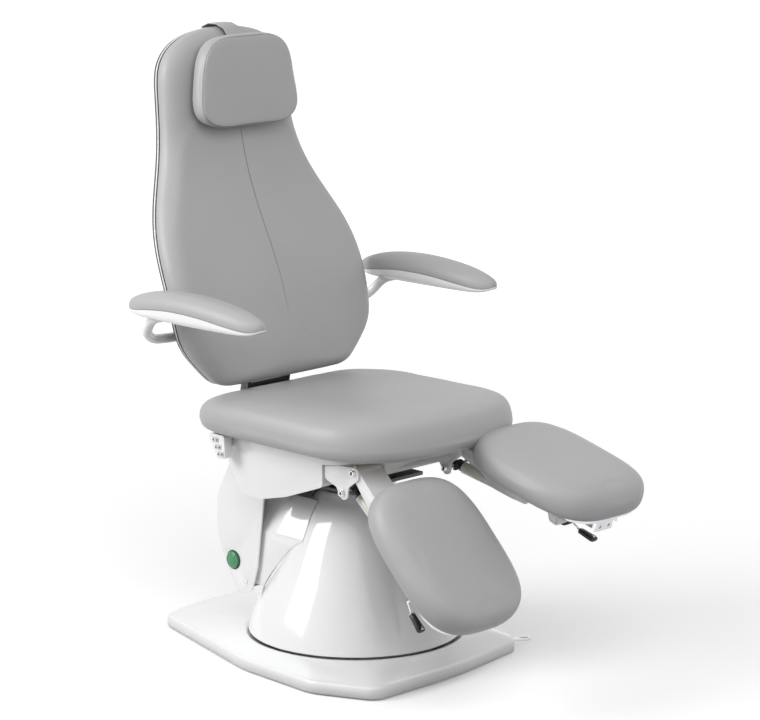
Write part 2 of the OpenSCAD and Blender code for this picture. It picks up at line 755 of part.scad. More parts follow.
module armrest_plate(s) {
    color("white") arm_plate_shape(s, 0);
}

module armrest_pad(s) {
    m = 14;
    color("darkgray") translate([s * arm_x, 0, 0]) loft([for (k = [arm_steps:-1:0])
        let (u = arm_u(k), y = arm_at(u), w = arm_w(u), low = arm_seam(u) + 0.1)
        concat([[-w + 1, y, low], [w - 1, y, low]],
               [for (i = [0:m - 1])
                   let (q = squircle(180 * i / (m - 1), w, arm_pad_h(u) - 5, 2.5)) [q[0], y, low + 5 + q[1]]])]);
}

// ---------- leg rests ----------

// Frame of a leg rest: X across, -Y along the leg, Z above it
module in_leg(s, pitch) {
    translate([s * leg_x, hinge_y, hinge_z]) rotate([pitch, 0, 0]) children();
}

module leg_plate(s, pitch) {
    color("whitesmoke") in_leg(s, pitch) difference() {
        union() {
            box([-flange_out, -330, 8], [flange_out, -14, 11]);
            for (c = [-1, 1])
                side_plate(min(c * flange_out, c * flange_in), max(c * flange_out, c * flange_in),
                           flange_outline);
            at_y(0, 0) cylinder(h = 2 * flange_out, r = 11, center = true, $fn = small);
            for (x = [-15, 11]) side_plate(x, x + 4,
                rounded([[-far_s + 22, 9], [-far_s - 22, 9], [-far_s - 10, far_h - 9],
                         [-far_s + 10, far_h - 9]], [0, 0, 9, 9]));
            at_y(-far_s, far_h) cylinder(h = 2 * flange_out - 2, r = far_r, center = true, $fn = small);
            for (c = [-1, 1]) at_y(-far_s, far_h) translate([0, 0, c * (flange_out + 1.5)])
                cylinder(h = 3, r = 8.5, center = true, $fn = small);
            at_y(-far_s, far_h) translate([0, 0, s * (lever_x - 0.5)])
                cylinder(h = 8, r = far_r, center = true, $fn = small);
            at_y(-clamp_s, clamp_h) translate([0, 0, -44]) cylinder(h = 12, r = 4, $fn = small);
        }
        at_y(0, 0) cylinder(h = 100, r = bolt_r + run, center = true, $fn = small);
    }
}

// Pale sleeve round the gas spring
module spring_cover(s, pitch) {
    color("ivory") in_spring(s, pitch) difference() {
        translate([0, 0, 20]) cylinder(h = 92, r = 13, $fn = small);
        cylinder(h = 200, r = 11 + run, $fn = small);
    }
}

module leg_slide(s, pitch) {
    color("silver") in_leg(s, pitch) {
        difference() {
            union() {
                translate([0, 0, 20]) linear_extrude(7.6)
                    polygon(rounded([[-108, -414], [108, -414], [108, -108], [-108, -108]], [62, 62, 62, 62]));
                for (c = [-1, 1]) box([min(c * 36, c * 40), -400, 0], [max(c * 36, c * 40), -118, 20.1]);
            }
            box([-45, -clamp_s - 5, -10], [-30, -118 + cut, clamp_h + 4.5]);
            translate([0, -175, 23]) cylinder(h = 20, r = 3, center = true, $fn = small);
        }
        difference() {
            union() {
                box([-25, -bracket_s, 16], [25, -bracket_s + 39, 20.1]);
                box([-25, -bracket_s, -12], [25, -bracket_s + 4, 20]);
            }
            for (x = [-13, 13]) translate([x, -bracket_s, -2]) rotate([90, 0, 0])
                cylinder(h = 20, r = 4, center = true, $fn = small);
        }
    }
}

leg_layers = [[30, 0], [12, 0.03], [3, 0.16], [0, 0.42], [3, 0.66], [11, 0.83], [24, 0.925], [46, 0.965],
              [80, 0.99], [112, 1]];

module leg_cushion(s, pitch) {
    n = 48;
    half = (leg_far - leg_near) / 2;
    mid = (leg_far + leg_near) / 2;
    color("darkgray") in_leg(s, pitch) loft([for (k = leg_layers)
        [for (i = [0:n - 1])
            let (q = squircle(360 * i / n, leg_half - k[0], half - k[0], 3.1))
            [q[0], q[1] - mid, 28 + 73 * k[1]]]]);
}

// Gas spring: length between its pivots and its slope below the horizontal
function spring_v(pitch) =
    [hinge_y - far_s * cos(pitch) - far_h * sin(pitch) - spring_y,
     hinge_z - far_s * sin(pitch) + far_h * cos(pitch) - spring_z];
function spring_len(pitch) = norm(spring_v(pitch));
function spring_slope(pitch) = atan2(-spring_v(pitch)[1], -spring_v(pitch)[0]);

module in_spring(s, pitch) {
    translate([s * leg_x, spring_y, spring_z]) rotate([90 + spring_slope(pitch), 0, 0]) children();
}

module gas_spring(s, pitch) {
    color("black") in_spring(s, pitch) difference() {
        union() {
            translate([0, 0, 14]) cylinder(h = 156, r = 11, $fn = small);
            rotate([0, 90, 0]) cylinder(h = 20, r = 11, center = true, $fn = small);
            cylinder(h = 16, r = 8, $fn = small);
        }
        translate([0, 0, 60]) cylinder(h = 130, r = 5 + run, $fn = small);
        rotate([0, 90, 0]) cylinder(h = 40, r = bolt_r + run, center = true, $fn = small);
    }
}

module gas_rod(s, pitch) {
    reach = spring_len(pitch);
    color("dimgray") in_spring(s, pitch) {
        translate([0, 0, reach - 190]) cylinder(h = 172, r = 5, $fn = small);
        translate([0, 0, reach]) rotate([0, 90, 0]) difference() {
            cylinder(h = 14, r = 19, center = true, $fn = small);
            cylinder(h = 20, r = 13.5, center = true, $fn = small);
        }
    }
}

// Lever outside the outer flange: a bent bar with a thicker grip
module release_lever(s, pitch) {
    x = s * lever_x;
    bend = [x, -far_s + 10, -56];
    grip = [x, -312, -64.3];
    end = [x, -353, -65.5];
    color("silver") in_leg(s, pitch) difference() {
        union() {
            at_y(-far_s, far_h) translate([0, 0, x]) cylinder(h = 5, r = 8, center = true, $fn = small);
            bar([x, -far_s, far_h], bend, 2.4);
            bar(bend, grip, 2.4);
            bar(grip, end, 6.5);
        }
        at_y(-far_s, far_h) translate([0, 0, x]) cylinder(h = 30, r = far_r + run, center = true, $fn = small);
    }
}

module clamp_knob(s, pitch) {
    color("black") in_leg(s, pitch) translate([-40.4, -clamp_s, clamp_h]) rotate([0, -90, 0]) difference() {
        cylinder(h = 16, r = 10, $fn = small);
        translate([0, 0, -cut]) cylinder(h = 6, r = 4 + run, $fn = small);
    }
}

// ---------- nodes ----------

base_plate();
base_cover();
rubber_feet();
turntable_lower();
lock_pedal();
turntable_upper();
outer_column();
cone_cover();
lift_actuator();
rear_housing();
inner_column();
lift_rod();
carriage_frame();
rear_shell();
control_box();
shell_screws();
tilt_actuator();
mains_button();
tilt_rod();
seat_frame();
seat_tray();
seat_board();
seat_cushion();
front_crossbar();
leg_brackets();
pivot_bolts();
back_actuator();
back_rod();
handset_holder();
handset();
handset_key(0);  // key_lift
handset_key(1);  // key_tilt
handset_key(2);  // key_back
back_frame();
back_board();
back_cushion();
headrest_strap();
headrest_cushion();
armrest_tube(-1);  // armrest_tube_right
armrest_plate(-1);  // armrest_plate_right
armrest_pad(-1);  // armrest_pad_right
armrest_tube(1);  // armrest_tube_left
armrest_plate(1);  // armrest_plate_left
armrest_pad(1);  // armrest_pad_left
leg_plate(-1, right_pitch);  // leg_plate_right
spring_cover(-1, right_pitch);  // spring_cover_right
leg_slide(-1, right_pitch);  // leg_slide_right
leg_cushion(-1, right_pitch);  // leg_cushion_right
gas_spring(-1, right_pitch);  // gas_spring_right
gas_rod(-1, right_pitch);  // gas_rod_right
release_lever(-1, right_pitch);  // release_lever_right
clamp_knob(-1, right_pitch);  // clamp_knob_right
leg_plate(1, left_pitch);  // leg_plate_left
spring_cover(1, left_pitch);  // spring_cover_left
leg_slide(1, left_pitch);  // leg_slide_left
leg_cushion(1, left_pitch);  // leg_cushion_left
gas_spring(1, left_pitch);  // gas_spring_left
gas_rod(1, left_pitch);  // gas_rod_left
release_lever(1, left_pitch);  // release_lever_left
clamp_knob(1, left_pitch);  // clamp_knob_left
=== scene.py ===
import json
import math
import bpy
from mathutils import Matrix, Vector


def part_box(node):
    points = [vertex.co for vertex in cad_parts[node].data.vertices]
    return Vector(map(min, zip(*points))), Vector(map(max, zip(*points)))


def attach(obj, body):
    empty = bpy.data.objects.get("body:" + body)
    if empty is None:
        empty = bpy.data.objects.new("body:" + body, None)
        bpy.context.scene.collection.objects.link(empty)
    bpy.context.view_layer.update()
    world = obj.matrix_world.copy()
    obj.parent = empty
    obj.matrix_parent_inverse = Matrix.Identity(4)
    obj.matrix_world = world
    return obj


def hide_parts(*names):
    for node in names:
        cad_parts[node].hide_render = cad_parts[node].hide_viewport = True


bl_info = {
    "name": "Pedicure Spa Chair",
    "version": (1, 0, 0),
    "blender": (4, 5, 0),
    "location": "View3D > Sidebar > Spa Chair",
    "description": "Upholstery, shells and fittings of a pedicure spa chair, built round its CAD frame",
    "category": "Object",
}

import bmesh
import bpy
import numpy as np
from mathutils import Vector

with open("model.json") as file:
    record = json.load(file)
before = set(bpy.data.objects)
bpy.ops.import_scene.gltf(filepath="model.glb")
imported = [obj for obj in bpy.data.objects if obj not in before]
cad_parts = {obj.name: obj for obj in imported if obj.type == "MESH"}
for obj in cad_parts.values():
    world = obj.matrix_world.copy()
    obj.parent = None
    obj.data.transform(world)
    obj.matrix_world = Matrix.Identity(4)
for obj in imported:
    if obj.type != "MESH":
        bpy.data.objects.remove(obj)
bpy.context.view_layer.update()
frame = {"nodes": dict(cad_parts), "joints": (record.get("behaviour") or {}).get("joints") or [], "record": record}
SIDES = {"right": -1, "left": 1}
MM = 0.001


def joint_of(name):
    """The joint of that name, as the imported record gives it."""
    return next(j for j in frame["joints"] if j["name"] == name)


# ---------------------------------------------------------------- settings


class SPACHAIR_PG_upholstery(bpy.types.PropertyGroup):
    """Colour and feel of the cushions"""

    colour: bpy.props.FloatVectorProperty(
        name="Leatherette", description="Colour of the upholstery", subtype="COLOR", size=3,
        min=0, max=1, default=(0.395, 0.395, 0.396))
    roughness: bpy.props.FloatProperty(
        name="Roughness", description="How matt the upholstery is", default=0.42, min=0, max=1)
    grain: bpy.props.FloatProperty(
        name="Grain", description="Width of one pebble of the leather grain",
        default=0.0011, min=0.0004, max=0.004, unit="LENGTH")
    swell: bpy.props.FloatProperty(
        name="Swell", description="Most that the filling pushes the cover out",
        default=0.004, min=0, max=0.012, unit="LENGTH")


class SPACHAIR_PG_shells(bpy.types.PropertyGroup):
    """Colours of the shells and the metal"""

    shell: bpy.props.FloatVectorProperty(
        name="Shells", description="Colour of the glossy shells", subtype="COLOR", size=3,
        min=0, max=1, default=(0.815, 0.817, 0.82))
    steel: bpy.props.FloatVectorProperty(
        name="Frame", description="Colour of the painted steel inside", subtype="COLOR", size=3,
        min=0, max=1, default=(0.030, 0.032, 0.035))
    button: bpy.props.FloatVectorProperty(
        name="Mains button", description="Colour of the mains button", subtype="COLOR", size=3,
        min=0, max=1, default=(0.002, 0.21, 0.06))
    edge: bpy.props.FloatProperty(
        name="Edge", description="Radius of the shells' edges",
        default=0.003, min=0.0005, max=0.006, unit="LENGTH")


class SPACHAIR_PG_stage(bpy.types.PropertyGroup):
    """Floor, lights and camera"""

    floor: bpy.props.FloatVectorProperty(
        name="Floor", description="Colour of the floor", subtype="COLOR", size=3,
        min=0, max=1, default=(0.93, 0.93, 0.93))
    glow: bpy.props.FloatProperty(
        name="Floor glow", description="What is added far off to the floor where the camera sees it",
        default=0.6, min=0, max=1)
    bounce: bpy.props.FloatProperty(
        name="Floor bounce", description="Share of its light that the floor gives back to the chair",
        default=0.30, min=0, max=1)
    key: bpy.props.FloatProperty(
        name="Key light", description="Power of the large light on the left, a little behind",
        default=90, min=0, unit="POWER")
    front: bpy.props.FloatProperty(
        name="Front light", description="Power of the large light above in front",
        default=78, min=0, unit="POWER")
    fill: bpy.props.FloatProperty(
        name="Fill light", description="Power of the soft light on the right",
        default=10, min=0, unit="POWER")
    azimuth: bpy.props.FloatProperty(
        name="Azimuth", description="Direction the camera looks in, 0 along +Y",
        default=math.radians(-45.3), subtype="ANGLE")
    pitch: bpy.props.FloatProperty(
        name="Pitch", description="How far the camera looks down",
        default=math.radians(11.7), subtype="ANGLE")
    distance: bpy.props.FloatProperty(
        name="Distance", description="Distance from the camera to the point it looks at",
        default=6.4595, min=1, unit="LENGTH")
    lens: bpy.props.FloatProperty(
        name="Lens", description="Focal length on a 36 mm sensor", default=142.1, min=20, max=300)


GROUPS = (SPACHAIR_PG_upholstery, SPACHAIR_PG_shells, SPACHAIR_PG_stage)


# ---------------------------------------------------------------- shader groups


def shader_group(name, inputs, outputs):
    """A new node group with those sockets, and its input and output nodes."""
    tree = bpy.data.node_groups.new(name, "ShaderNodeTree")
    for label, kind, value in inputs:
        socket = tree.interface.new_socket(label, in_out="INPUT", socket_type=kind)
        socket.default_value = value
    for label, kind in outputs:
        tree.interface.new_socket(label, in_out="OUTPUT", socket_type=kind)
    return tree, tree.nodes.new("NodeGroupInput"), tree.nodes.new("NodeGroupOutput")


def feed(tree, socket, value):
    """Gives a socket a number, or links another socket to it."""
    if isinstance(value, (int, float)):
        socket.default_value = value
    else:
        tree.links.new(value, socket)


def object_place(tree):
    """Where a point lies in its object."""
    return tree.nodes.new("ShaderNodeTexCoord").outputs["Object"]


def add_noise(tree, vector, scale, detail, roughness=0.5):
    """A noise texture on that vector."""
    noise = tree.nodes.new("ShaderNodeTexNoise")
    noise.inputs["Detail"].default_value = detail
    noise.inputs["Roughness"].default_value = roughness
    feed(tree, noise.inputs["Scale"], scale)
    tree.links.new(vector, noise.inputs["Vector"])
    return noise


def remap(tree, value, low, high, to_low, to_high):
    """A value moved from one range to another."""
    node = tree.nodes.new("ShaderNodeMapRange")
    for label, number in zip(("From Min", "From Max", "To Min", "To Max"), (low, high, to_low, to_high)):
        feed(tree, node.inputs[label], number)
    tree.links.new(value, node.inputs["Value"])
    return node.outputs["Result"]


def math_node(tree, operation, a, b):
    """A maths node on two sockets or numbers."""
    node = tree.nodes.new("ShaderNodeMath")
    node.operation = operation
    for i, number in enumerate((a, b)):
        feed(tree, node.inputs[i], number)
    return node.outputs["Value"]


def surface_variation_group():
    """Slight clouding of a colour and of its roughness, as handling and moulding leave it."""
    tree, given, made = shader_group(
        "surface_variation",
        [("Colour", "NodeSocketColor", (0.8, 0.8, 0.8, 1)), ("Roughness", "NodeSocketFloat", 0.3),
         ("Patch", "NodeSocketFloat", 6.0), ("Amount", "NodeSocketFloat", 0.05)],
        [("Colour", "NodeSocketColor"), ("Roughness", "NodeSocketFloat")])
    place = object_place(tree)
    broad = add_noise(tree, place, given.outputs["Patch"], 3).outputs["Fac"]
    finer = math_node(tree, "MULTIPLY", given.outputs["Patch"], 14.0)
    fine = add_noise(tree, place, finer, 4).outputs["Fac"]
    low = math_node(tree, "SUBTRACT", 1.0, given.outputs["Amount"])
    tint = tree.nodes.new("ShaderNodeMix")
    tint.data_type = "RGBA"
    tint.blend_type = "MULTIPLY"
    tint.inputs["Factor"].default_value = 1.0
    tree.links.new(given.outputs["Colour"], tint.inputs["A"])
    tree.links.new(remap(tree, broad, 0.3, 0.7, low, 1.0), tint.inputs["B"])
    tree.links.new(tint.outputs["Result"], made.inputs["Colour"])
    spread = math_node(tree, "MULTIPLY", given.outputs["Amount"], 1.4)
    shift = math_node(tree, "MULTIPLY", math_node(tree, "SUBTRACT", fine, 0.5), spread)
    tree.links.new(math_node(tree, "ADD", given.outputs["Roughness"], shift), made.inputs["Roughness"])


def leather_grain_group():
    """Height of a fine pebbled grain with soft creases over it."""
    tree, given, made = shader_group(
        "leather_grain",
        [("Pebbles per metre", "NodeSocketFloat", 900.0), ("Crease", "NodeSocketFloat", 0.4)],
        [("Height", "NodeSocketFloat")])
    place = object_place(tree)
    pebble = tree.nodes.new("ShaderNodeTexVoronoi")
    pebble.feature = "SMOOTH_F1"
    tree.links.new(place, pebble.inputs["Vector"])
    tree.links.new(given.outputs["Pebbles per metre"], pebble.inputs["Scale"])
    wider = math_node(tree, "MULTIPLY", given.outputs["Pebbles per metre"], 0.12)
    crease = add_noise(tree, place, wider, 5, 0.62)
    soft = math_node(tree, "MULTIPLY", crease.outputs["Fac"], given.outputs["Crease"])
    bumps = math_node(tree, "SUBTRACT", 1.0, pebble.outputs["Distance"])
    tree.links.new(math_node(tree, "ADD", bumps, soft), made.inputs["Height"])


def brushed_group():
    """Height of fine lines along one axis, as brushing or drawing leaves them."""
    tree, given, made = shader_group(
        "brushed_lines", [("Lines per metre", "NodeSocketFloat", 2500.0)], [("Height", "NodeSocketFloat")])
    stretch = tree.nodes.new("ShaderNodeMapping")
    stretch.inputs["Scale"].default_value = (1.0, 0.03, 0.03)
    tree.links.new(object_place(tree), stretch.inputs["Vector"])
    lines = add_noise(tree, stretch.outputs["Vector"], given.outputs["Lines per metre"], 2)
    tree.links.new(lines.outputs["Fac"], made.inputs["Height"])


# ---------------------------------------------------------------- materials


def group_node(material, name, **values):
    """A shader group placed in a material, with its own values."""
    node = material.node_tree.nodes.new("ShaderNodeGroup")
    node.node_tree = bpy.data.node_groups[name]
    for label, value in values.items():
        node.inputs[label.replace("_", " ")].default_value = value
    return node


def finish_material(name, colour, roughness, patch=6.0, amount=0.05, metallic=0.0, coat=0.0,
                    coat_roughness=0.04, sheen=0.0, specular=0.5):
    """A Principled material whose colour and roughness vary a little over the surface."""
    material = bpy.data.materials.new(name)
    material.use_nodes = True
    shader = material.node_tree.nodes["Principled BSDF"]
    shader.inputs["Metallic"].default_value = metallic
    shader.inputs["Coat Weight"].default_value = coat
    shader.inputs["Coat Roughness"].default_value = coat_roughness
    shader.inputs["Sheen Weight"].default_value = sheen
    shader.inputs["Specular IOR Level"].default_value = specular
    cloud = group_node(material, "surface_variation", Colour=(*colour, 1), Roughness=roughness,
                       Patch=patch, Amount=amount)
    material.node_tree.links.new(cloud.outputs["Colour"], shader.inputs["Base Color"])
    material.node_tree.links.new(cloud.outputs["Roughness"], shader.inputs["Roughness"])
    return material


def add_bump(material, height, depth):
    """A Bump node of that depth in metres, fed by a height, on the material's normal."""
    bump = material.node_tree.nodes.new("ShaderNodeBump")
    bump.inputs["Distance"].default_value = depth
    bump.inputs["Strength"].default_value = 1.0
    material.node_tree.links.new(height, bump.inputs["Height"])
    shader = material.node_tree.nodes["Principled BSDF"]
    material.node_tree.links.new(bump.outputs["Normal"], shader.inputs["Normal"])


def noise_bump(material, scale, detail, depth):
    """A fine unevenness: noise of that many lumps per metre, as a bump."""
    tree = material.node_tree
    add_bump(material, add_noise(tree, object_place(tree), scale, detail).outputs["Fac"], depth)


def leatherette(settings):
    """Smooth grey leatherette with a fine pebbled grain."""
    material = finish_material("leatherette", settings.colour, settings.roughness, patch=5.0,
                               amount=0.05, sheen=0.06, specular=0.42)
    grain = group_node(material, "leather_grain", Pebbles_per_metre=1 / settings.grain, Crease=0.9)
    add_bump(material, grain.outputs["Height"], 0.00012)
    return material


def leather_thread(settings):
    """Sewing thread, a little darker than the leatherette."""
    darker = [c * 0.62 for c in settings.colour]
    material = finish_material("sewing_thread", darker, 0.7, patch=300.0, amount=0.25, sheen=0.3)
    lines = group_node(material, "brushed_lines", Lines_per_metre=6000.0)
    add_bump(material, lines.outputs["Height"], 0.0001)
    return material


def gloss_shell(name, colour, roughness=0.16):
    """Moulded plastic with a polished skin and the faint ripple of a large moulding."""
    material = finish_material(name, colour, roughness, patch=3.0, amount=0.02, coat=0.7)
    noise_bump(material, 9.0, 2, 0.0004)
    return material


def painted_steel(name, colour, roughness=0.35):
    """Powder-coated steel with a fine orange-peel surface."""
    material = finish_material(name, colour, roughness, patch=14.0, amount=0.06, coat=0.15)
    noise_bump(material, 700.0, 3, 0.00006)
    return material


def bright_metal(name, colour, roughness, lines=0.0):
    """Bare or plated metal, with fine lines where it is brushed."""
    material = finish_material(name, colour, roughness, patch=25.0, amount=0.08, metallic=1.0)
    if lines:
        brushed = group_node(material, "brushed_lines", Lines_per_metre=lines)
        add_bump(material, brushed.outputs["Height"], 0.00003)
    return material


def moulded_black(name, colour, roughness):
    """Dark plastic or rubber with a fine moulded texture."""
    material = finish_material(name, colour, roughness, patch=40.0, amount=0.12)
    noise_bump(material, 1800.0, 2, 0.00005)
    return material


def plywood(name):
    """Pale plywood, seen only at its edge from below."""
    material = finish_material(name, (0.36, 0.25, 0.15), 0.62, patch=20.0, amount=0.3)
    wave = material.node_tree.nodes.new("ShaderNodeTexWave")
    wave.inputs["Scale"].default_value = 60.0
    wave.inputs["Distortion"].default_value = 6.0
    material.node_tree.links.new(object_place(material.node_tree), wave.inputs["Vector"])
    add_bump(material, wave.outputs["Fac"], 0.0001)
    return material


# The materials by name, filled in by the first operator
FINISH = {}


# ---------------------------------------------------------------- mesh making


def placed(name, data):
    """A new object of that data, linked into the scene."""
    thing = bpy.data.objects.new(name, data)
    bpy.context.scene.collection.objects.link(thing)
    return thing


def turns(count):
    """Angles of one whole turn, evenly spaced."""
    return np.linspace(0, 2 * np.pi, count, endpoint=False)


def new_object(name, vertices, faces, material):
    """A smooth mesh object with its material."""
    mesh = bpy.data.meshes.new(name)
    mesh.from_pydata([tuple(v) for v in vertices], [], faces)
    mesh.materials.append(material)
    shape = bmesh.new()
    shape.from_mesh(mesh)
    bmesh.ops.remove_doubles(shape, verts=shape.verts, dist=1e-6)
    bmesh.ops.recalc_face_normals(shape, faces=shape.faces)
    shape.to_mesh(mesh)
    shape.free()
    mesh.shade_smooth()
    return placed(name, mesh)


def loft(name, rings, material, closed=True):
    """A skin over rings that all have the same number of points, with flat ends unless open."""
    rings = np.asarray(rings, float)
    count, around = rings.shape[:2]
    faces = []
    for row in range(count - 1):
        this, following = row * around, (row + 1) * around
        for i in range(around):
            j = (i + 1) % around
            faces.append((this + i, this + j, following + j, following + i))
    if closed:
        faces.append(tuple(range(around - 1, -1, -1)))
        faces.append(tuple((count - 1) * around + i for i in range(around)))
    return new_object(name, rings.reshape(-1, 3), faces, material)


def superellipse(count, a, b, power):
    """Points of a rounded outline with half sizes a and b."""
    t = turns(count)
    x = a * np.sign(np.cos(t)) * np.abs(np.cos(t)) ** (2 / power)
    y = b * np.sign(np.sin(t)) * np.abs(np.sin(t)) ** (2 / power)
    return np.stack([x, y], 1)


def even(points, count, closed=True):
    """Points spaced evenly along an outline or a path."""
    points = np.asarray(points, float)
    if closed:
        points = np.vstack([points, points[:1]])
    along = np.concatenate([[0], np.cumsum(np.linalg.norm(np.diff(points, axis=0), axis=1))])
    at = np.linspace(0, along[-1], count, endpoint=not closed)
    return np.stack([np.interp(at, along, points[:, k]) for k in range(points.shape[1])], 1)


def eased(points, rounds=2):
    """A closed outline with its corners cut finer, so that its arcs come out smooth."""
    points = np.asarray(points, float)
    for _ in range(rounds):
        following = np.roll(points, -1, 0)
        cut = np.empty((2 * len(points), points.shape[1]))
        cut[0::2] = points * 0.75 + following * 0.25
        cut[1::2] = points * 0.25 + following * 0.75
        points = cut
    return points


def pad_profile(edge_low, edge_high, widest, crown, square=2.3, steps=9, crown_steps=12):
    """Rows of a pad from the middle of its underside to the middle of its top.

    Each row is an inset from the outline, the share of what is left to the middle, and a
    height from 0 to 1."""
    rows = [(edge_low, share, 0.0) for share in np.linspace(1, 0, 6)]
    for a in np.linspace(0, np.pi / 2, steps)[1:]:
        rows.append((edge_low * (1 - np.sin(a) ** (2 / square)), 0,
                     widest * (1 - np.cos(a) ** (2 / square))))
    for a in np.linspace(0, np.pi / 2, steps + 3)[1:]:
        rise = (1 - crown - widest) * np.sin(a) ** (2 / square)
        rows.append((edge_high * (1 - np.cos(a) ** (2 / square)), 0, widest + rise))
    for share in np.linspace(0, 1, crown_steps)[1:]:
        rows.append((edge_high, share, 1 - crown * (1 - share) ** 2))
    return rows


def layered_profile(layers, crown_steps=14, per=5):
    """Rows of a pad through its layers: how far each is drawn in, and its height from 0 to 1."""
    layers = np.asarray(layers, float)
    ends = np.vstack([2 * layers[0] - layers[1], layers, 2 * layers[-1] - layers[-2]])
    rows = []
    for k in range(1, len(layers)):
        a, b, c, d = ends[k - 1:k + 3]
        for u in np.linspace(0, 1, per, endpoint=False):
            point = 0.5 * (2 * b + (c - a) * u + (2 * a - 5 * b + 4 * c - d) * u ** 2
                           + (3 * b - a - 3 * c + d) * u ** 3)
            rows.append((max(0.0, point[0]), 0, point[1]))
    last, height = layers[-1]
    rows += [(last, share, height + (1 - height) * (1 - (1 - share) ** 2))
             for share in np.linspace(0, 1, crown_steps)]
    return rows


def drawn_in(outline, spine, depth):
    """An outline moved towards the middle by a depth."""
    return outline + (spine - outline) * (depth / np.linalg.norm(spine - outline, axis=1, keepdims=True))


def pad_rings(outline, spine, profile, place):
    """Rings of a pad: place puts points of the outline's plane, and a height, into space."""
    reach = spine - outline
    length = np.linalg.norm(reach, axis=1, keepdims=True)
    towards = reach / np.maximum(length, 1e-9)
    rings = []
    for inset, share, height in profile:
        step = np.minimum(inset, length)
        flat = outline + towards * (step + share * (length - step))
        rings.append(place(flat[:, 0], flat[:, 1], height))
    return rings


CLOTH_FRAMES = 20
SMOOTHING_PASSES = 14
SMOOTHING_KEPT = 0.4


def swell(piece, limit, pinned, pressure=4.0):
    """Lets the filling push the cover out as cloth, evened over the mesh, within the limit."""
    if limit <= 0:
        return
    before = np.empty(len(piece.data.vertices) * 3)
    piece.data.vertices.foreach_get("co", before)
    before = before.reshape(-1, 3)
    group = piece.vertex_groups.new(name="sewn")
    group.add([int(i) for i in np.nonzero(pinned(before))[0]], 1.0, "REPLACE")
    cloth = piece.modifiers.new("Filling", "CLOTH")
    cloth.settings.quality = 6
    cloth.settings.mass = 0.4
    cloth.settings.tension_stiffness = 30
    cloth.settings.compression_stiffness = 30
    cloth.settings.bending_stiffness = 2
    cloth.settings.use_pressure = True
    cloth.settings.uniform_pressure_force = pressure
    cloth.settings.vertex_group_mass = "sewn"
    cloth.settings.effector_weights.gravity = 0
    cloth.collision_settings.use_collision = False
    cloth.point_cache.frame_start = 1
    cloth.point_cache.frame_end = CLOTH_FRAMES
    scene = bpy.context.scene
    for step in range(1, CLOTH_FRAMES + 1):
        scene.frame_set(step)
    result = piece.evaluated_get(bpy.context.evaluated_depsgraph_get()).to_mesh()
    after = np.empty(len(result.vertices) * 3)
    result.vertices.foreach_get("co", after)
    moved = after.reshape(-1, 3) - before
    piece.evaluated_get(bpy.context.evaluated_depsgraph_get()).to_mesh_clear()
    piece.modifiers.remove(cloth)
    piece.vertex_groups.clear()
    scene.frame_set(1)
    edges = np.empty(len(piece.data.edges) * 2, dtype=int)
    piece.data.edges.foreach_get("vertices", edges)
    ends = edges.reshape(-1, 2)
    ways = np.concatenate([ends, ends[:, ::-1]])
    count = np.maximum(np.bincount(ways[:, 0], minlength=len(moved)), 1)[:, None]
    for _ in range(SMOOTHING_PASSES):
        around = np.zeros_like(moved)
        np.add.at(around, ways[:, 0], moved[ways[:, 1]])
        moved = SMOOTHING_KEPT * moved + (1 - SMOOTHING_KEPT) * around / count
    size = np.linalg.norm(moved, axis=1, keepdims=True)
    eased_size = limit * np.tanh(size / limit)
    moved *= eased_size / np.maximum(size, 1e-9)
    piece.data.vertices.foreach_set("co", (before + moved).ravel())
    piece.data.update()


def refined(node, finish, edge=0.0008, angle=32, segments=2):
    """A copy of a CAD node with its facets merged and its edges rounded, in the node's place."""
    source = frame["nodes"][node]
    mesh = source.data.copy()
    mesh.name = node + "_finished"
    mesh.materials.clear()
    mesh.materials.append(FINISH[finish])
    shape = bmesh.new()
    shape.from_mesh(mesh)
    bmesh.ops.remove_doubles(shape, verts=shape.verts, dist=2e-6)
    bmesh.ops.dissolve_limit(shape, angle_limit=math.radians(0.6), verts=shape.verts, edges=shape.edges)
    for face in shape.faces:
        face.material_index = 0
    shape.to_mesh(mesh)
    shape.free()
    piece = placed(node + "_finished", mesh)
    bevel = piece.modifiers.new("Edges", "BEVEL")
    bevel.width = edge
    bevel.segments = segments
    bevel.limit_method = "ANGLE"
    bevel.angle_limit = math.radians(angle)
    bevel.use_clamp_overlap = True
    bake_modifiers(piece)
    piece.data.shade_smooth()
    piece.data.set_sharp_from_angle(angle=math.radians(angle))
    return stand_for(piece, node)


def bake_modifiers(piece):
    """Makes the modifiers' result the piece's own mesh."""
    depsgraph = bpy.context.evaluated_depsgraph_get()
    mesh = bpy.data.meshes.new_from_object(piece.evaluated_get(depsgraph))
    piece.modifiers.clear()
    old = piece.data
    piece.data = mesh
    bpy.data.meshes.remove(old)
    mesh.name = piece.name


def slot_of(node):
    """The material slot that the record gives a node."""
    return next(s["material_slot"] for s in frame["record"]["subparts"] if s["node"] == node)


def body_of(node):
    """The body that a node belongs to."""
    return next(b for b, members in frame["record"]["behaviour"]["bodies"].items() if node in members)


def stand_for(piece, node):
    """The piece rides on the node's body and is shown in its place."""
    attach(piece, body_of(node))
    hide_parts(node)
    slot_of(node)
    return piece


def extra(piece, node):
    """A piece that sits on a node and moves with it."""
    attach(piece, body_of(node))
    slot_of(node)
    return piece


# ---------------------------------------------------------------- geometry nodes


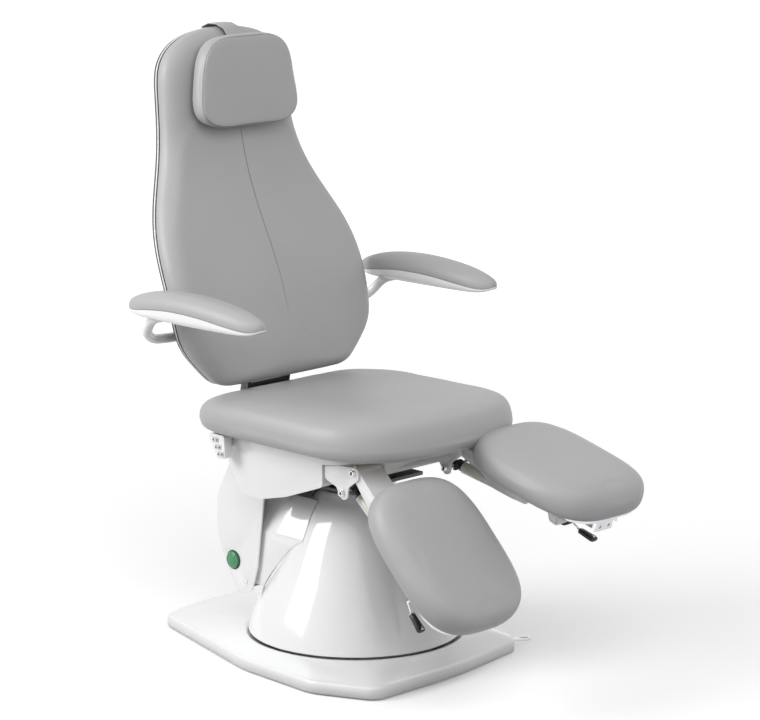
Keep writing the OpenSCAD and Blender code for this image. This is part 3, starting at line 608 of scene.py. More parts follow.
def geometry_tree(name, inputs):
    """A geometry node tree with a Geometry input and output and those named inputs."""
    tree = bpy.data.node_groups.new(name, "GeometryNodeTree")
    tree.interface.new_socket("Geometry", in_out="INPUT", socket_type="NodeSocketGeometry")
    for label, kind in inputs:
        tree.interface.new_socket(label, in_out="INPUT", socket_type=kind)
    tree.interface.new_socket("Geometry", in_out="OUTPUT", socket_type="NodeSocketGeometry")
    return tree, tree.nodes.new("NodeGroupInput"), tree.nodes.new("NodeGroupOutput")


def finish_tree(tree, given, made, geometry, *kinds):
    """Takes geometry through nodes of those kinds, gives it the material and hands it out."""
    for kind in (*kinds, "GeometryNodeSetMaterial"):
        node = tree.nodes.new(kind)
        tree.links.new(geometry, node.inputs["Geometry"])
        geometry = node.outputs["Geometry"]
    tree.links.new(given.outputs["Material"], node.inputs["Material"])
    tree.links.new(geometry, made.inputs["Geometry"])


def stitches_tree():
    """Stitches laid end to end along a curve: short threads, each a little below the last's end."""
    tree, given, made = geometry_tree("stitches", [
        ("Length", "NodeSocketFloat"), ("Pitch", "NodeSocketFloat"), ("Thickness", "NodeSocketFloat"),
        ("Material", "NodeSocketMaterial")])
    points = tree.nodes.new("GeometryNodeCurveToPoints")
    points.mode = "LENGTH"
    thread = tree.nodes.new("GeometryNodeMeshCylinder")
    thread.inputs["Vertices"].default_value = 6
    turn = tree.nodes.new("GeometryNodeInstanceOnPoints")
    link = tree.links.new
    link(given.outputs["Geometry"], points.inputs["Curve"])
    link(given.outputs["Pitch"], points.inputs["Length"])
    link(given.outputs["Length"], thread.inputs["Depth"])
    link(given.outputs["Thickness"], thread.inputs["Radius"])
    link(points.outputs["Points"], turn.inputs["Points"])
    align = tree.nodes.new("FunctionNodeAlignRotationToVector")
    align.axis = "Z"
    link(points.outputs["Tangent"], align.inputs["Vector"])
    link(align.outputs["Rotation"], turn.inputs["Rotation"])
    link(thread.outputs["Mesh"], turn.inputs["Instance"])
    finish_tree(tree, given, made, turn.outputs["Instances"], "GeometryNodeRealizeInstances")


def welt_tree():
    """A round cord along a curve, as a seam's welt or a bent rod is."""
    tree, given, made = geometry_tree("welt", [
        ("Radius", "NodeSocketFloat"), ("Material", "NodeSocketMaterial")])
    ring = tree.nodes.new("GeometryNodeCurvePrimitiveCircle")
    ring.inputs["Resolution"].default_value = 10
    sweep = tree.nodes.new("GeometryNodeCurveToMesh")
    sweep.inputs["Fill Caps"].default_value = True
    link = tree.links.new
    link(given.outputs["Geometry"], sweep.inputs["Curve"])
    link(given.outputs["Radius"], ring.inputs["Radius"])
    link(ring.outputs["Curve"], sweep.inputs["Profile Curve"])
    finish_tree(tree, given, made, sweep.outputs["Mesh"],
                "GeometryNodeSetShadeSmooth", "GeometryNodeRealizeInstances")


def bolt_heads_tree():
    """A copy of one head at each point of a mesh, turned so that its top follows the point's normal."""
    tree, given, made = geometry_tree("bolt_heads", [
        ("Head", "NodeSocketObject"), ("Material", "NodeSocketMaterial")])
    head = tree.nodes.new("GeometryNodeObjectInfo")
    head.transform_space = "ORIGINAL"
    aim = tree.nodes.new("FunctionNodeAlignRotationToVector")
    aim.axis = "Z"
    normal = tree.nodes.new("GeometryNodeInputNamedAttribute")
    normal.data_type = "FLOAT_VECTOR"
    normal.inputs["Name"].default_value = "facing"
    size = tree.nodes.new("GeometryNodeInputNamedAttribute")
    size.data_type = "FLOAT"
    size.inputs["Name"].default_value = "size"
    copies = tree.nodes.new("GeometryNodeInstanceOnPoints")
    link = tree.links.new
    link(given.outputs["Head"], head.inputs["Object"])
    link(given.outputs["Geometry"], copies.inputs["Points"])
    link(head.outputs["Geometry"], copies.inputs["Instance"])
    link(normal.outputs["Attribute"], aim.inputs["Vector"])
    link(aim.outputs["Rotation"], copies.inputs["Rotation"])
    link(size.outputs["Attribute"], copies.inputs["Scale"])
    finish_tree(tree, given, made, copies.outputs["Instances"],
                "GeometryNodeRealizeInstances", "GeometryNodeSetShadeSmooth")


def run_tree(source, tree, name, **values):
    """Runs a geometry node tree on an object and keeps the result as a plain mesh."""
    modifier = source.modifiers.new(name, "NODES")
    modifier.node_group = bpy.data.node_groups[tree]
    sockets = {item.name: item.identifier for item in modifier.node_group.interface.items_tree
               if item.item_type == "SOCKET" and item.in_out == "INPUT"}
    for label, value in values.items():
        modifier[sockets[label]] = value
    depsgraph = bpy.context.evaluated_depsgraph_get()
    mesh = bpy.data.meshes.new_from_object(source.evaluated_get(depsgraph))
    mesh.name = name
    piece = placed(name, mesh)
    if not len(mesh.polygons):
        raise RuntimeError(name + " came out empty")
    bpy.data.objects.remove(source)
    return piece


def curve_object(name, points, cyclic=False):
    """A curve through points, for a tree to follow."""
    data = bpy.data.curves.new(name, "CURVE")
    data.dimensions = "3D"
    line = data.splines.new("POLY")
    line.points.add(len(points) - 1)
    for spot, point in zip(line.points, points):
        spot.co = (*point, 1)
    line.use_cyclic_u = cyclic
    return placed(name, data)


def stitched(name, points, node, cyclic=False, length=0.0032, pitch=0.0044, thickness=0.00042):
    """A row of stitches along points, on the node's body."""
    line = curve_object(name + "_line", points, cyclic)
    piece = run_tree(line, "stitches", name, Length=length, Pitch=pitch, Thickness=thickness,
                     Material=FINISH["thread"])
    return extra(piece, node)


def welted(name, points, radius, node, material, cyclic=True):
    """A round welt or rod along points, on the node's body."""
    line = curve_object(name + "_line", points, cyclic)
    piece = run_tree(line, "welt", name, Radius=radius, Material=material)
    return extra(piece, node)


def headed(name, spots, node, material, head):
    """Bolt or screw heads at spots: each spot is a point, the way it faces and its radius."""
    mesh = bpy.data.meshes.new(name + "_spots")
    mesh.from_pydata([s[0] for s in spots], [], [])
    mesh.attributes.new("facing", "FLOAT_VECTOR", "POINT")
    mesh.attributes.new("size", "FLOAT", "POINT")
    for i, spot in enumerate(spots):
        mesh.attributes["facing"].data[i].vector = spot[1]
        mesh.attributes["size"].data[i].value = spot[2]
    piece = run_tree(placed(name + "_spots", mesh), "bolt_heads", name, Head=head, Material=material)
    return extra(piece, node)


def spun(name, profile, material, around=24):
    """A turned piece: the profile gives its radius and height, from the middle outwards."""
    turn = turns(around)
    rings = [[(r * math.cos(t), r * math.sin(t), z) for t in turn] for r, z in profile]
    return loft(name, rings, material)


# ---------------------------------------------------------------- the chair's own forms

SEAT_LOW, SEAT_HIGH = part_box("seat_cushion")
BACK_LOW, BACK_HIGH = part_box("back_cushion")
HEAD_LOW, HEAD_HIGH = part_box("headrest_cushion")
LEG_HINGE = {side: Vector(joint_of("leg_angle_" + side)["pos_m"]) for side in SIDES}
LEG_WAY = {side: Vector(joint_of("leg_extend_" + side)["axis"]) for side in SIDES}
CONE_PROFILE = np.array([
    (235, 59), (234, 64), (227, 90), (214, 121), (200, 150), (187, 177), (168, 212), (153, 245),
    (137, 280), (121, 314), (107, 338), (93, 356), (80, 367), (67, 372)]) * MM
BACK_MIDDLE, BACK_LEAN, BACK_BEND, BACK_EASE = 0.222, 0.196, 0.908, 0.098
ARM_X = (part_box("armrest_pad_left")[0].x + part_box("armrest_pad_left")[1].x) / 2
ARM_UNDER = 0.765
SEAT_LAYERS = [
    (0.038, 0), (0.024, 0.02), (0.009, 0.1), (0.001, 0.27), (0, 0.45), (0.004, 0.65),
    (0.012, 0.8), (0.026, 0.895), (0.050, 0.945), (0.090, 0.975), (0.140, 0.992)]
LEG_LAYERS = [
    (0.030, 0), (0.012, 0.03), (0.003, 0.16), (0, 0.42), (0.003, 0.66), (0.011, 0.83),
    (0.024, 0.925), (0.046, 0.965), (0.080, 0.99)]


def back_middle(z):
    """Y of the middle of the back at a height: an S from the seat to the neck."""
    return BACK_MIDDLE + BACK_LEAN / (1 + np.exp(-(z - BACK_BEND) / BACK_EASE))


def back_outline(count):
    """Outline of the back seen from the front, evenly spaced, from its bottom round to its top."""
    rings = {}
    for vertex in frame["nodes"]["back_cushion"].data.vertices:
        z = round(vertex.co.z, 4)
        rings[z] = max(rings.get(z, 0), vertex.co.x)
    right = np.array([(rings[z], z) for z in sorted(rings)])
    left = right[::-1] * (-1, 1)
    return even(eased(np.vstack([right, left]), 3), count)


def leg_point(side, across, along, height):
    """Points of a leg rest's own frame put into the chair's: across, along the leg, above it."""
    way = LEG_WAY[side]
    up = Vector((0, way.z, -way.y))
    origin = LEG_HINGE[side]
    across, along, height = np.broadcast_arrays(across, along, height)
    return np.stack([origin.x + across, origin.y + way.y * along + up.y * height,
                     origin.z + way.z * along + up.z * height], -1)


def node_outline(node, height, tolerance=0.0002):
    """Outer outline of a CAD node at a height, sorted round the swivel axis."""
    points = np.array([v.co[:] for v in frame["nodes"][node].data.vertices])
    points = points[np.abs(points[:, 2] - height) < tolerance][:, :2]
    turn = np.arctan2(points[:, 1], points[:, 0])
    reach = np.hypot(points[:, 0], points[:, 1])
    same_way = 0.006
    outer = {}
    for angle, far, point in zip(turn, reach, points):
        if far >= reach[np.abs(turn - angle) < same_way].max() - 1e-6:
            outer[round(angle, 4)] = point
    return np.array([outer[a] for a in sorted(outer)])


# ---------------------------------------------------------------- operators


class Builder(bpy.types.Operator):
    """What all of the chair's operators share"""

    bl_options = {"REGISTER", "UNDO"}

    @classmethod
    def poll(cls, context):
        return context.mode == "OBJECT"


class SPACHAIR_OT_finishes(Builder):
    """Makes the shader groups, the geometry node trees and the materials"""

    bl_idname = "spachair.finishes"
    bl_label = "Finishes"

    def execute(self, context):
        """Fills FINISH, the list of materials by slot."""
        surface_variation_group()
        leather_grain_group()
        brushed_group()
        stitches_tree()
        welt_tree()
        bolt_heads_tree()
        cloth = context.scene.spachair_upholstery
        shells = context.scene.spachair_shells
        FINISH.update(
            grey_leatherette=leatherette(cloth),
            thread=leather_thread(cloth),
            white_shell=gloss_shell("white_shell", shells.shell, 0.14),
            white_enamel=gloss_shell("white_enamel", [c * 0.98 for c in shells.shell], 0.26),
            cream_plastic=gloss_shell("cream_plastic", (0.74, 0.745, 0.66), 0.3),
            green_button=gloss_shell("green_button", shells.button, 0.12),
            frame_steel=painted_steel("frame_steel", shells.steel),
            bright_steel=bright_metal("bright_steel", (0.48, 0.49, 0.51), 0.32, 2500.0),
            chrome=bright_metal("chrome", (0.72, 0.73, 0.75), 0.12),
            board_cover=moulded_black("board_cover", (0.055, 0.056, 0.06), 0.5),
            motor_black=moulded_black("motor_black", (0.014, 0.014, 0.016), 0.42),
            black_plastic=moulded_black("black_plastic", (0.008, 0.008, 0.009), 0.3),
            key_grey=moulded_black("key_grey", (0.62, 0.63, 0.64), 0.45),
            key_mark=moulded_black("key_mark", (0.04, 0.045, 0.05), 0.5),
            black_rubber=moulded_black("black_rubber", (0.01, 0.01, 0.01), 0.75),
            board=plywood("board"),
        )
        return {"FINISHED"}


class SPACHAIR_OT_base(Builder):
    """Makes the floor base: cover, plate, feet, bearing ring and swivel pedal"""

    bl_idname = "spachair.base"
    bl_label = "Base"

    def execute(self, context):
        """The cover is made anew, and the rest is refined."""
        low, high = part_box("base_cover")
        rim, crown, foot, tuck = 0.030, high.z, 0.241, 0.006
        outline = eased(node_outline("base_cover", low.z), 2)
        reach = np.linalg.norm(outline, axis=1, keepdims=True)
        rings = []

        def ring(inwards, share, z):
            radius = (reach - inwards) * (1 - share) + foot * share
            rings.append(np.column_stack([outline * radius / reach, np.full(len(outline), z)]))

        ring(tuck, 0, 0.024)
        ring(tuck, 0, low.z)
        ring(0.0045, 0, low.z)
        ring(0, 0, low.z + 0.0015)
        edge = 0.006
        for a in np.linspace(0, np.pi / 2, 7):
            ring(edge * (1 - math.cos(a)), 0, rim - edge + edge * math.sin(a))
        for share in np.linspace(0, 1, 14)[1:]:
            climb = 0.5 * (share + math.sin(share * math.pi / 2))
            ring(edge * (1 - share), share, rim + (crown - rim) * climb)
        ring(0, 1 + 0.006 / foot, crown - 0.0015)
        inner = foot - 0.015
        circle = outline / reach * inner
        rings.append(np.column_stack([circle, np.full(len(outline), crown - 0.0025)]))
        rings.append(np.column_stack([circle, np.full(len(outline), crown - 0.010)]))
        cover = loft("base_cover_moulding", rings, FINISH["white_shell"], closed=False)
        stand_for(cover, "base_cover")
        refined("base_plate", "frame_steel", 0.001)
        refined("rubber_feet", "black_rubber", 0.001)
        refined("turntable_lower", "bright_steel", 0.0008)
        refined("lock_pedal", "chrome", 0.0012, segments=3)
        return {"FINISHED"}


class SPACHAIR_OT_turret(Builder):
    """Makes the cone, the rear housing and the turning parts inside them"""

    bl_idname = "spachair.turret"
    bl_label = "Cone and housing"

    def execute(self, context):
        """The cone is a turned shell, and the rest is refined."""
        along = np.concatenate([[0], np.cumsum(np.linalg.norm(np.diff(CONE_PROFILE, axis=0), axis=1))])
        at = np.linspace(along[1], along[-1], 46)
        radius = np.interp(at, along, CONE_PROFILE[:, 0])
        height = np.interp(at, along, CONE_PROFILE[:, 1])
        kernel = np.array([1, 2, 3, 2, 1]) / 9
        for _ in range(3):
            radius[2:-2] = np.convolve(radius, kernel, "valid")
            height[2:-2] = np.convolve(height, kernel, "valid")
        outside = list(zip(radius, height))
        foot = [(0.2335, 0.0592), (0.2347, 0.0600), (0.2350, 0.0615)]
        lip = [(0.0665, 0.3705), (0.0665, 0.3680)]
        wall = 0.004
        inside = [(r - wall, z - 0.002) for r, z in outside[::-1][4:]]
        profile = foot + outside + lip + inside + [(0.2310, 0.0592)]
        profile.append(profile[0])
        turn = turns(160)
        rings = [np.stack([r * np.cos(turn), r * np.sin(turn), np.full(len(turn), z)], 1)
                 for r, z in profile]
        stand_for(loft("cone_shell", rings, FINISH["white_shell"], closed=False), "cone_cover")
        edge = context.scene.spachair_shells.edge
        refined("rear_housing", "white_shell", edge)
        for node, slot in (("turntable_upper", "bright_steel"), ("outer_column", "bright_steel"),
                           ("lift_actuator", "motor_black")):
            refined(node, slot, 0.0008)
        return {"FINISHED"}


class SPACHAIR_OT_carriage(Builder):
    """Makes the lifting carriage with its shell, screws and mains button"""

    bl_idname = "spachair.carriage"
    bl_label = "Lifting shell"

    def execute(self, context):
        """The shell's screws are turned heads, and the button is domed with a raised rim."""
        edge = context.scene.spachair_shells.edge
        refined("rear_shell", "white_shell", edge, segments=3)
        for node in ("inner_column", "lift_rod"):
            refined(node, "bright_steel", 0.0008)
        refined("carriage_frame", "frame_steel", 0.001)
        refined("control_box", "motor_black", 0.003)
        refined("tilt_actuator", "motor_black", 0.001)
        refined("tilt_rod", "bright_steel", 0.0008)
        refined("shell_screws", "chrome", 0.0003)
        low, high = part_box("mains_button")
        centre = Vector((low.x, (low.y + high.y) / 2, (low.z + high.z) / 2))
        radius = (high.y - low.y) / 2
        deep = high.x - low.x
        profile = [(0, 0), (radius * 0.4, 0.0004), (radius * 0.62, 0.0016), (radius * 0.68, 0.0024),
                   (radius * 0.74, 0.0012), (radius * 0.9, 0.0022), (radius, 0.0046), (radius, deep), (0, deep)]
        turn = turns(64)
        rings = [[(low.x + d, centre.y + r * math.cos(t), centre.z + r * math.sin(t)) for t in turn]
                 for r, d in profile]
        stand_for(loft("mains_button_cap", rings, FINISH["green_button"]), "mains_button")
        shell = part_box("rear_shell")
        rim = [(shell[0].x - 0.0002, centre.y + 0.0205 * math.cos(t), centre.z + 0.0205 * math.sin(t))
               for t in turn]
        welted("mains_button_ring", rim, 0.0012, "rear_shell", FINISH["black_plastic"])
        return {"FINISHED"}


class SPACHAIR_OT_seat(Builder):
    """Makes the seat cushion, its tray and the steel parts under it"""

    bl_idname = "spachair.seat"
    bl_label = "Seat"

    def execute(self, context):
        """The cushion is round in front, lower behind, and swollen by its filling."""
        half, front, rear = SEAT_HIGH.x + 0.011, 0.016 - SEAT_LOW.y, SEAT_HIGH.y + 0.012
        middle = 0.120
        count = 220
        turn = turns(4 * count)
        sin, cos = np.sin(turn), np.cos(turn)
        power = np.where(sin < 0, 2.6, 7.0)
        x = half * np.sign(cos) * np.abs(cos) ** (2 / power)
        y = np.where(sin < 0, front - middle, rear + middle) * np.sign(sin) * np.abs(sin) ** (2 / power)
        x = np.where(sin >= 0, x * (1 - 0.02 * y / (rear + middle)), x)
        outline = even(np.stack([x, y - middle], 1), count)
        spine = np.stack([np.zeros(count), np.clip(outline[:, 1], -0.09, 0.08)], 1)
        low, top = SEAT_LOW.z, SEAT_HIGH.z
        pocket = 0.0104 / (top - low)

        def place(px, py, h):
            drop = 0.020 * np.clip((py - 0.06) / 0.2, 0, 1) ** 1.5
            return np.stack([px, py, low + (top - drop * np.clip(h / 0.8, 0, 1) - low) * h], 1)

        profile = [(0.0405, share, pocket) for share in np.linspace(1, 0, 6)]
        profile += layered_profile(SEAT_LAYERS, 16)
        cushion = loft("seat_upholstery", pad_rings(outline, spine, profile, place),
                       FINISH["grey_leatherette"], closed=False)
        swell(cushion, context.scene.spachair_upholstery.swell * 0.5, lambda p: p[:, 2] < low + 0.012)
        stand_for(cushion, "seat_cushion")
        edge = context.scene.spachair_shells.edge
        refined("seat_tray", "white_shell", edge, segments=3)
        refined("seat_board", "board", 0.001)
        refined("seat_frame", "frame_steel", 0.001)
        refined("front_crossbar", "white_enamel", 0.002)
        refined("leg_brackets", "white_enamel", 0.0007)
        refined("pivot_bolts", "chrome", 0.0008)
        refined("back_actuator", "motor_black", 0.001)
        refined("back_rod", "bright_steel", 0.0008)
        self.bolt_caps()
        return {"FINISHED"}

    def bolt_caps(self):
        """Round caps on the leg brackets' bolts, each with a dark socket: a black disc in it as painted shade."""
        cap = spun("bolt_cap_pattern", [
            (0, 0.10), (0.55, 0.10), (0.60, 0.50), (0.68, 0.56), (0.84, 0.50), (0.96, 0.30),
            (1.0, 0.06), (1.0, 0.0)], FINISH["chrome"])
        # A black disc in each cap's hollow: painted shade inside the socket
        socket = spun("bolt_socket_pattern", [(0, 0.16), (0.48, 0.16), (0.57, 0.13), (0.57, 0.05)],
                      FINISH["motor_black"])
        bolt_end, cap_radius = 0.0431, 0.0076
        spots = []
        for side in SIDES:
            hinge = LEG_HINGE[side]
            spring = Vector(joint_of("gas_spring_angle_" + side)["pos_m"])
            for pivot in (hinge, spring):
                for way in (-1, 1):
                    spots.append(((pivot.x + way * bolt_end, pivot.y, pivot.z), (way, 0, 0), cap_radius))
        headed("bracket_bolt_caps", spots, "pivot_bolts", FINISH["chrome"], cap)
        # The black discs in the sockets are painted shade
        headed("bracket_bolt_sockets", spots, "pivot_bolts", FINISH["motor_black"], socket)
        bpy.data.objects.remove(cap)
        bpy.data.objects.remove(socket)


class SPACHAIR_OT_back(Builder):
    """Makes the back: board, cushion, strap and the arms behind it"""

    bl_idname = "spachair.back"
    bl_label = "Back"

    def execute(self, context):
        """Cushion and board share one outline and the S of the back."""
        count = 320
        outline = back_outline(count)
        lift = np.clip(outline[:, 1], BACK_LOW.z + 0.13, BACK_HIGH.z - 0.12)
        spine = np.stack([np.zeros(count), lift], 1)
        rear, front = 0.020, -0.032
        bulge = 0.009

        def place(px, pz, h):
            width = np.interp(pz, np.sort(outline[:, 1]), np.abs(outline[np.argsort(outline[:, 1]), 0]))
            crown = bulge * np.maximum(0, 1 - (px / np.maximum(width, 0.05)) ** 2) * h
            return np.stack([px, back_middle(pz) + rear + (front - rear) * h - crown, pz], 1)

        profile = pad_profile(0.010, 0.046, 0.38, 0.02, square=2.1, steps=9, crown_steps=22)
        cushion = loft("back_upholstery", pad_rings(outline, spine, profile, place),
                       FINISH["grey_leatherette"], closed=False)
        swell(cushion, context.scene.spachair_upholstery.swell * 0.5,
              lambda p: p[:, 1] > back_middle(p[:, 2]) + rear - 0.012)
        stand_for(cushion, "back_cushion")
        self.board(outline, spine)
        refined("back_frame", "frame_steel", 0.001)
        refined("headrest_strap", "grey_leatherette", 0.0006)
        self.strap_seams()
        return {"FINISHED"}

    def board(self, outline, spine):
        """The board behind the cushion, with a rounded rim and a white cord along it as painted highlight."""
        gap, thick = 0.0206, 0.0150
        shrunk = drawn_in(outline, spine, 0.003)

        def place(px, pz, h):
            return np.stack([px, back_middle(pz) + gap + thick * (1 - h), pz], 1)

        profile = pad_profile(0.012, 0.002, 0.8, 0.0, square=2.0, steps=7, crown_steps=14)
        panel = loft("back_panel", pad_rings(shrunk, spine, profile, place),
                     FINISH["board_cover"], closed=False)
        stand_for(panel, "back_board")
        # A white cord on the board's rim: painted highlight along the back's edge
        rim = drawn_in(shrunk, spine, 0.001)
        points = [(x, back_middle(z) + gap + 0.0012, z) for x, z in rim]
        welted("back_edge_trim", points, 0.0016, "back_board", FINISH["white_enamel"])

    def strap_seams(self):
        """Two rows of stitches along the strap's edges, over the top of the back."""
        low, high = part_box("headrest_strap")
        before_middle = 0.0482
        zs = np.linspace(1.176, 1.318, 30)
        for name, x in (("right", low.x + 0.003), ("left", high.x - 0.003)):
            points = [(x, back_middle(z) - before_middle, z) for z in zs]
            stitched("strap_stitches_" + name, points, "headrest_strap")


class SPACHAIR_OT_headrest(Builder):
    """Makes the headrest: front and rear panels sewn to a boxed side"""

    bl_idname = "spachair.headrest"
    bl_label = "Headrest"

    def execute(self, context):
        """A rounded boxed pad with a sewn seam on each edge."""
        low, high = HEAD_LOW.z, HEAD_HIGH.z
        wide, narrow = 0.149, 0.119
        count = 220
        base = superellipse(count, 1, 1, 4.2)
        z = (low + high) / 2 + base[:, 1] * (high - low) / 2
        tier = np.clip((z - low) / (high - low), 0, 1)
        half = wide - (wide - narrow) * tier ** 1.6
        outline = even(np.stack([base[:, 0] * half, z], 1), count)
        spine = np.stack([np.zeros(count), np.clip(outline[:, 1], low + 0.09, high - 0.09)], 1)
        rear, front = -0.0500, -0.0870

        def place(px, pz, h):
            return np.stack([px, back_middle(pz) + rear + (front - rear) * h, pz], 1)

        seam, groove = 0.0022, 0.10
        profile = [(0.014, share, -0.02) for share in np.linspace(1, 0, 8)]
        profile += [(0.006, 0, 0.02), (seam + 0.001, 0, 0.05), (seam + 0.003, 0, 0.08), (seam, 0, groove)]
        for h in np.linspace(0.18, 0.82, 9):
            puff = 0.0028 * math.sin(math.pi * (h - 0.10) / 0.8)
            profile.append((0.0030 - puff, 0, h))
        profile += [(seam, 0, 0.885), (seam + 0.003, 0, 0.90), (seam + 0.0012, 0, 0.918), (0.0052, 0, 0.945),
                    (0.012, 0, 0.985), (0.022, 0, 1.02)]
        profile += [(0.032, share, 1.03 + 0.11 * (1 - (1 - share) ** 2)) for share in np.linspace(0, 1, 16)]
        cushion = loft("headrest_upholstery", pad_rings(outline, spine, profile, place),
                       FINISH["grey_leatherette"], closed=False)
        swell(cushion, context.scene.spachair_upholstery.swell * 0.35,
              lambda p: p[:, 1] > back_middle(p[:, 2]) + rear - 0.004)
        stand_for(cushion, "headrest_cushion")
        shrunk = drawn_in(outline, spine, 0.0034)
        for name, height in (("front", 0.905), ("rear", 0.085)):
            ring = place(shrunk[:, 0], shrunk[:, 1], height)
            stitched("headrest_stitches_" + name, ring, "headrest_cushion", cyclic=True)
        return {"FINISHED"}


class SPACHAIR_OT_armrests(Builder):
    """Makes both folding armrests: bent tube, white plate and crowned pad"""

    bl_idname = "spachair.armrests"
    bl_label = "Armrests"

    def execute(self, context):
        """Both sides share their forms."""
        for side, sign in SIDES.items():
            refined("armrest_tube_" + side, "white_enamel", 0.0006)
            self.plate(side, sign)
            self.pad(side, sign, context.scene.spachair_upholstery.swell)
        return {"FINISHED"}

    def stations(self, side, count):
        """Along an armrest: distance, half width, underside, seam with the pad, pad's height."""
        low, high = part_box("armrest_pad_" + side)
        u = 0.5 - 0.5 * np.cos(np.linspace(0, np.pi, count))
        end = np.abs(2 * u - 1)
        width = np.maximum(0.003, (high.x - low.x) / 2 * np.maximum(0, 1 - end ** 2.8) ** (1 / 2.4))
        under = ARM_UNDER + 0.012 * end ** 12
        seam = under + 0.003 + 0.023 * np.maximum(0, np.sin(np.pi * u ** 1.15)) ** 0.85
        tall = 0.004 + 0.033 * np.sqrt(np.maximum(0, 1 - end ** 6))
        return zip(low.y + (high.y - low.y) * u, width, under, seam, tall)

    def plate(self, side, sign):
        """The white plate under the pad: a lens, deep in the middle and rounded below."""
        rings = []
        for y, width, under, seam, _ in self.stations(side, 72):
            deep = seam - under
            shape = [(-width, seam), (-width - 0.0003, seam - deep * 0.2)]
            shape += [(-width * share, under + deep * rise) for share, rise in (
                (0.985, 0.45), (0.93, 0.17), (0.82, 0.03), (0.6, 0))]
            shape += [(-px, pz) for px, pz in shape[::-1]]
            rings.append([(sign * ARM_X + px, y, pz) for px, pz in shape])
        plate = loft("armrest_shell_" + side, rings, FINISH["white_shell"])
        plate.data.set_sharp_from_angle(angle=math.radians(50))
        stand_for(plate, "armrest_plate_" + side)

    def pad(self, side, sign, limit):
        """The crowned pad, sewn to the plate's edge."""
        rings = []
        for y, width, _, seam, tall in self.stations(side, 96):
            arch = superellipse(56, width, tall - 0.003, 2.4)[:29]
            ring = [(sign * ARM_X + px, y, seam + 0.003 + pz) for px, pz in arch]
            below = [(-0.985, 0.0006), (-0.95, 0.0002), (-0.5, 0.0002), (0, 0.0002), (0.5, 0.0002),
                     (0.95, 0.0002), (0.985, 0.0006)]
            ring += [(sign * ARM_X + width * k, y, seam + dz) for k, dz in below]
            rings.append(ring)
        pad = loft("armrest_upholstery_" + side, rings, FINISH["grey_leatherette"])
        swell(pad, limit * 0.3, lambda p: p[:, 2] < ARM_UNDER + 0.034)
        stand_for(pad, "armrest_pad_" + side)


class SPACHAIR_OT_leg_rests(Builder):
    """Makes both leg rests: cushion, sliding plate, gas spring, lever and knob"""

    bl_idname = "spachair.leg_rests"
    bl_label = "Leg rests"

    def execute(self, context):
        """Both sides share their forms and differ in their angle."""
        for side in SIDES:
            self.cushion(side, context.scene.spachair_upholstery.swell)
            refined("leg_plate_" + side, "white_enamel", 0.0008)
            refined("spring_cover_" + side, "cream_plastic", 0.0008)
            refined("leg_slide_" + side, "chrome", 0.0008)
            refined("gas_spring_" + side, "motor_black", 0.0008)
            refined("gas_rod_" + side, "motor_black", 0.0006)
            refined("release_lever_" + side, "chrome", 0.0006)
            refined("clamp_knob_" + side, "black_plastic", 0.0012, segments=3)
            self.grip(side)
        return {"FINISHED"}

    def cushion(self, side, limit):
        """A round-cornered pad with a soft upper edge."""
        box_low, box_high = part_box("leg_cushion_" + side)
        wider = 0.008
        half = (box_high.x - box_low.x) / 2 + wider
        inner = SIDES[side] * -0.006
        near, far, low, thick = 0.078, 0.434, 0.028, 0.073
        count = 180
        outline = even(superellipse(count * 4, half, (far - near) / 2, 3.1), count)
        spine = np.stack([np.zeros(count), np.clip(outline[:, 1], -0.05, 0.05)], 1)

        def place(px, py, h):
            return leg_point(side, px + inner, (far + near) / 2 - py, low + thick * h)

        profile = [(0.030, share, 0.0) for share in np.linspace(1, 0, 6)][:-1] + layered_profile(LEG_LAYERS)
        pad = loft("leg_upholstery_" + side, pad_rings(outline, spine, profile, place),
                   FINISH["grey_leatherette"], closed=False)
        way = np.array(LEG_WAY[side])
        up = np.array((0, way[2], -way[1]))
        origin = np.array(LEG_HINGE[side])
        swell(pad, limit * 0.45, lambda p: (p - origin) @ up < low + 0.012)
        stand_for(pad, "leg_cushion_" + side)

    def grip(self, side):
        """The flared black grip on the lever's end."""
        rings = []
        x, start, below, droop = SIDES[side] * 0.0415, 0.312, 0.0643, 0.03
        for along, wide, tall in ((-0.002, 0.003, 0.003), (0.001, 0.0068, 0.0064), (0.014, 0.0076, 0.0068),
                                  (0.028, 0.0092, 0.0068), (0.038, 0.0110, 0.0064), (0.0425, 0.0100, 0.0050),
                                  (0.0440, 0.0060, 0.0025)):
            oval = superellipse(28, wide, tall, 2.4)
            rings.append(leg_point(side, x + oval[:, 0], start + along, oval[:, 1] - below - droop * along))
        extra(loft("lever_grip_" + side, rings, FINISH["black_plastic"]), "release_lever_" + side)


class SPACHAIR_OT_handset(Builder):
    """Makes the hand control with its three rocker keys"""

    bl_idname = "spachair.handset"
    bl_label = "Hand control"

    def execute(self, context):
        """Each key has a raised arrow at each end."""
        refined("handset", "white_shell", 0.003, segments=3)
        refined("handset_holder", "white_shell", 0.001)
        for node in ("key_lift", "key_tilt", "key_back"):
            refined(node, "key_grey", 0.0012, segments=3)
            self.arrows(node)
        return {"FINISHED"}

    def arrows(self, node):
        """Two raised arrows, one up and one down."""
        low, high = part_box(node)
        middle_y, middle_z = (low.y + high.y) / 2, (low.z + high.z) / 2
        vertices, faces = [], []
        for sign in (-1, 1):
            centre = middle_y + sign * 0.0056
            start = len(vertices)
            foot = middle_z - sign * 0.0020
            triangle = [(centre - 0.0030, foot), (centre + 0.0030, foot), (centre, middle_z + sign * 0.0027)]
            for x in (low.x + 0.0004, low.x - 0.0003):
                vertices += [(x, y, z) for y, z in triangle]
            faces += [(start, start + 1, start + 2), (start + 5, start + 4, start + 3)]
            faces += [(start + i, start + (i + 1) % 3, start + 3 + (i + 1) % 3, start + 3 + i)
                      for i in range(3)]
        mark = new_object("arrows_" + node, vertices, faces, FINISH["key_mark"])
        mark.data.set_sharp_from_angle(angle=math.radians(30))
        extra(mark, node)


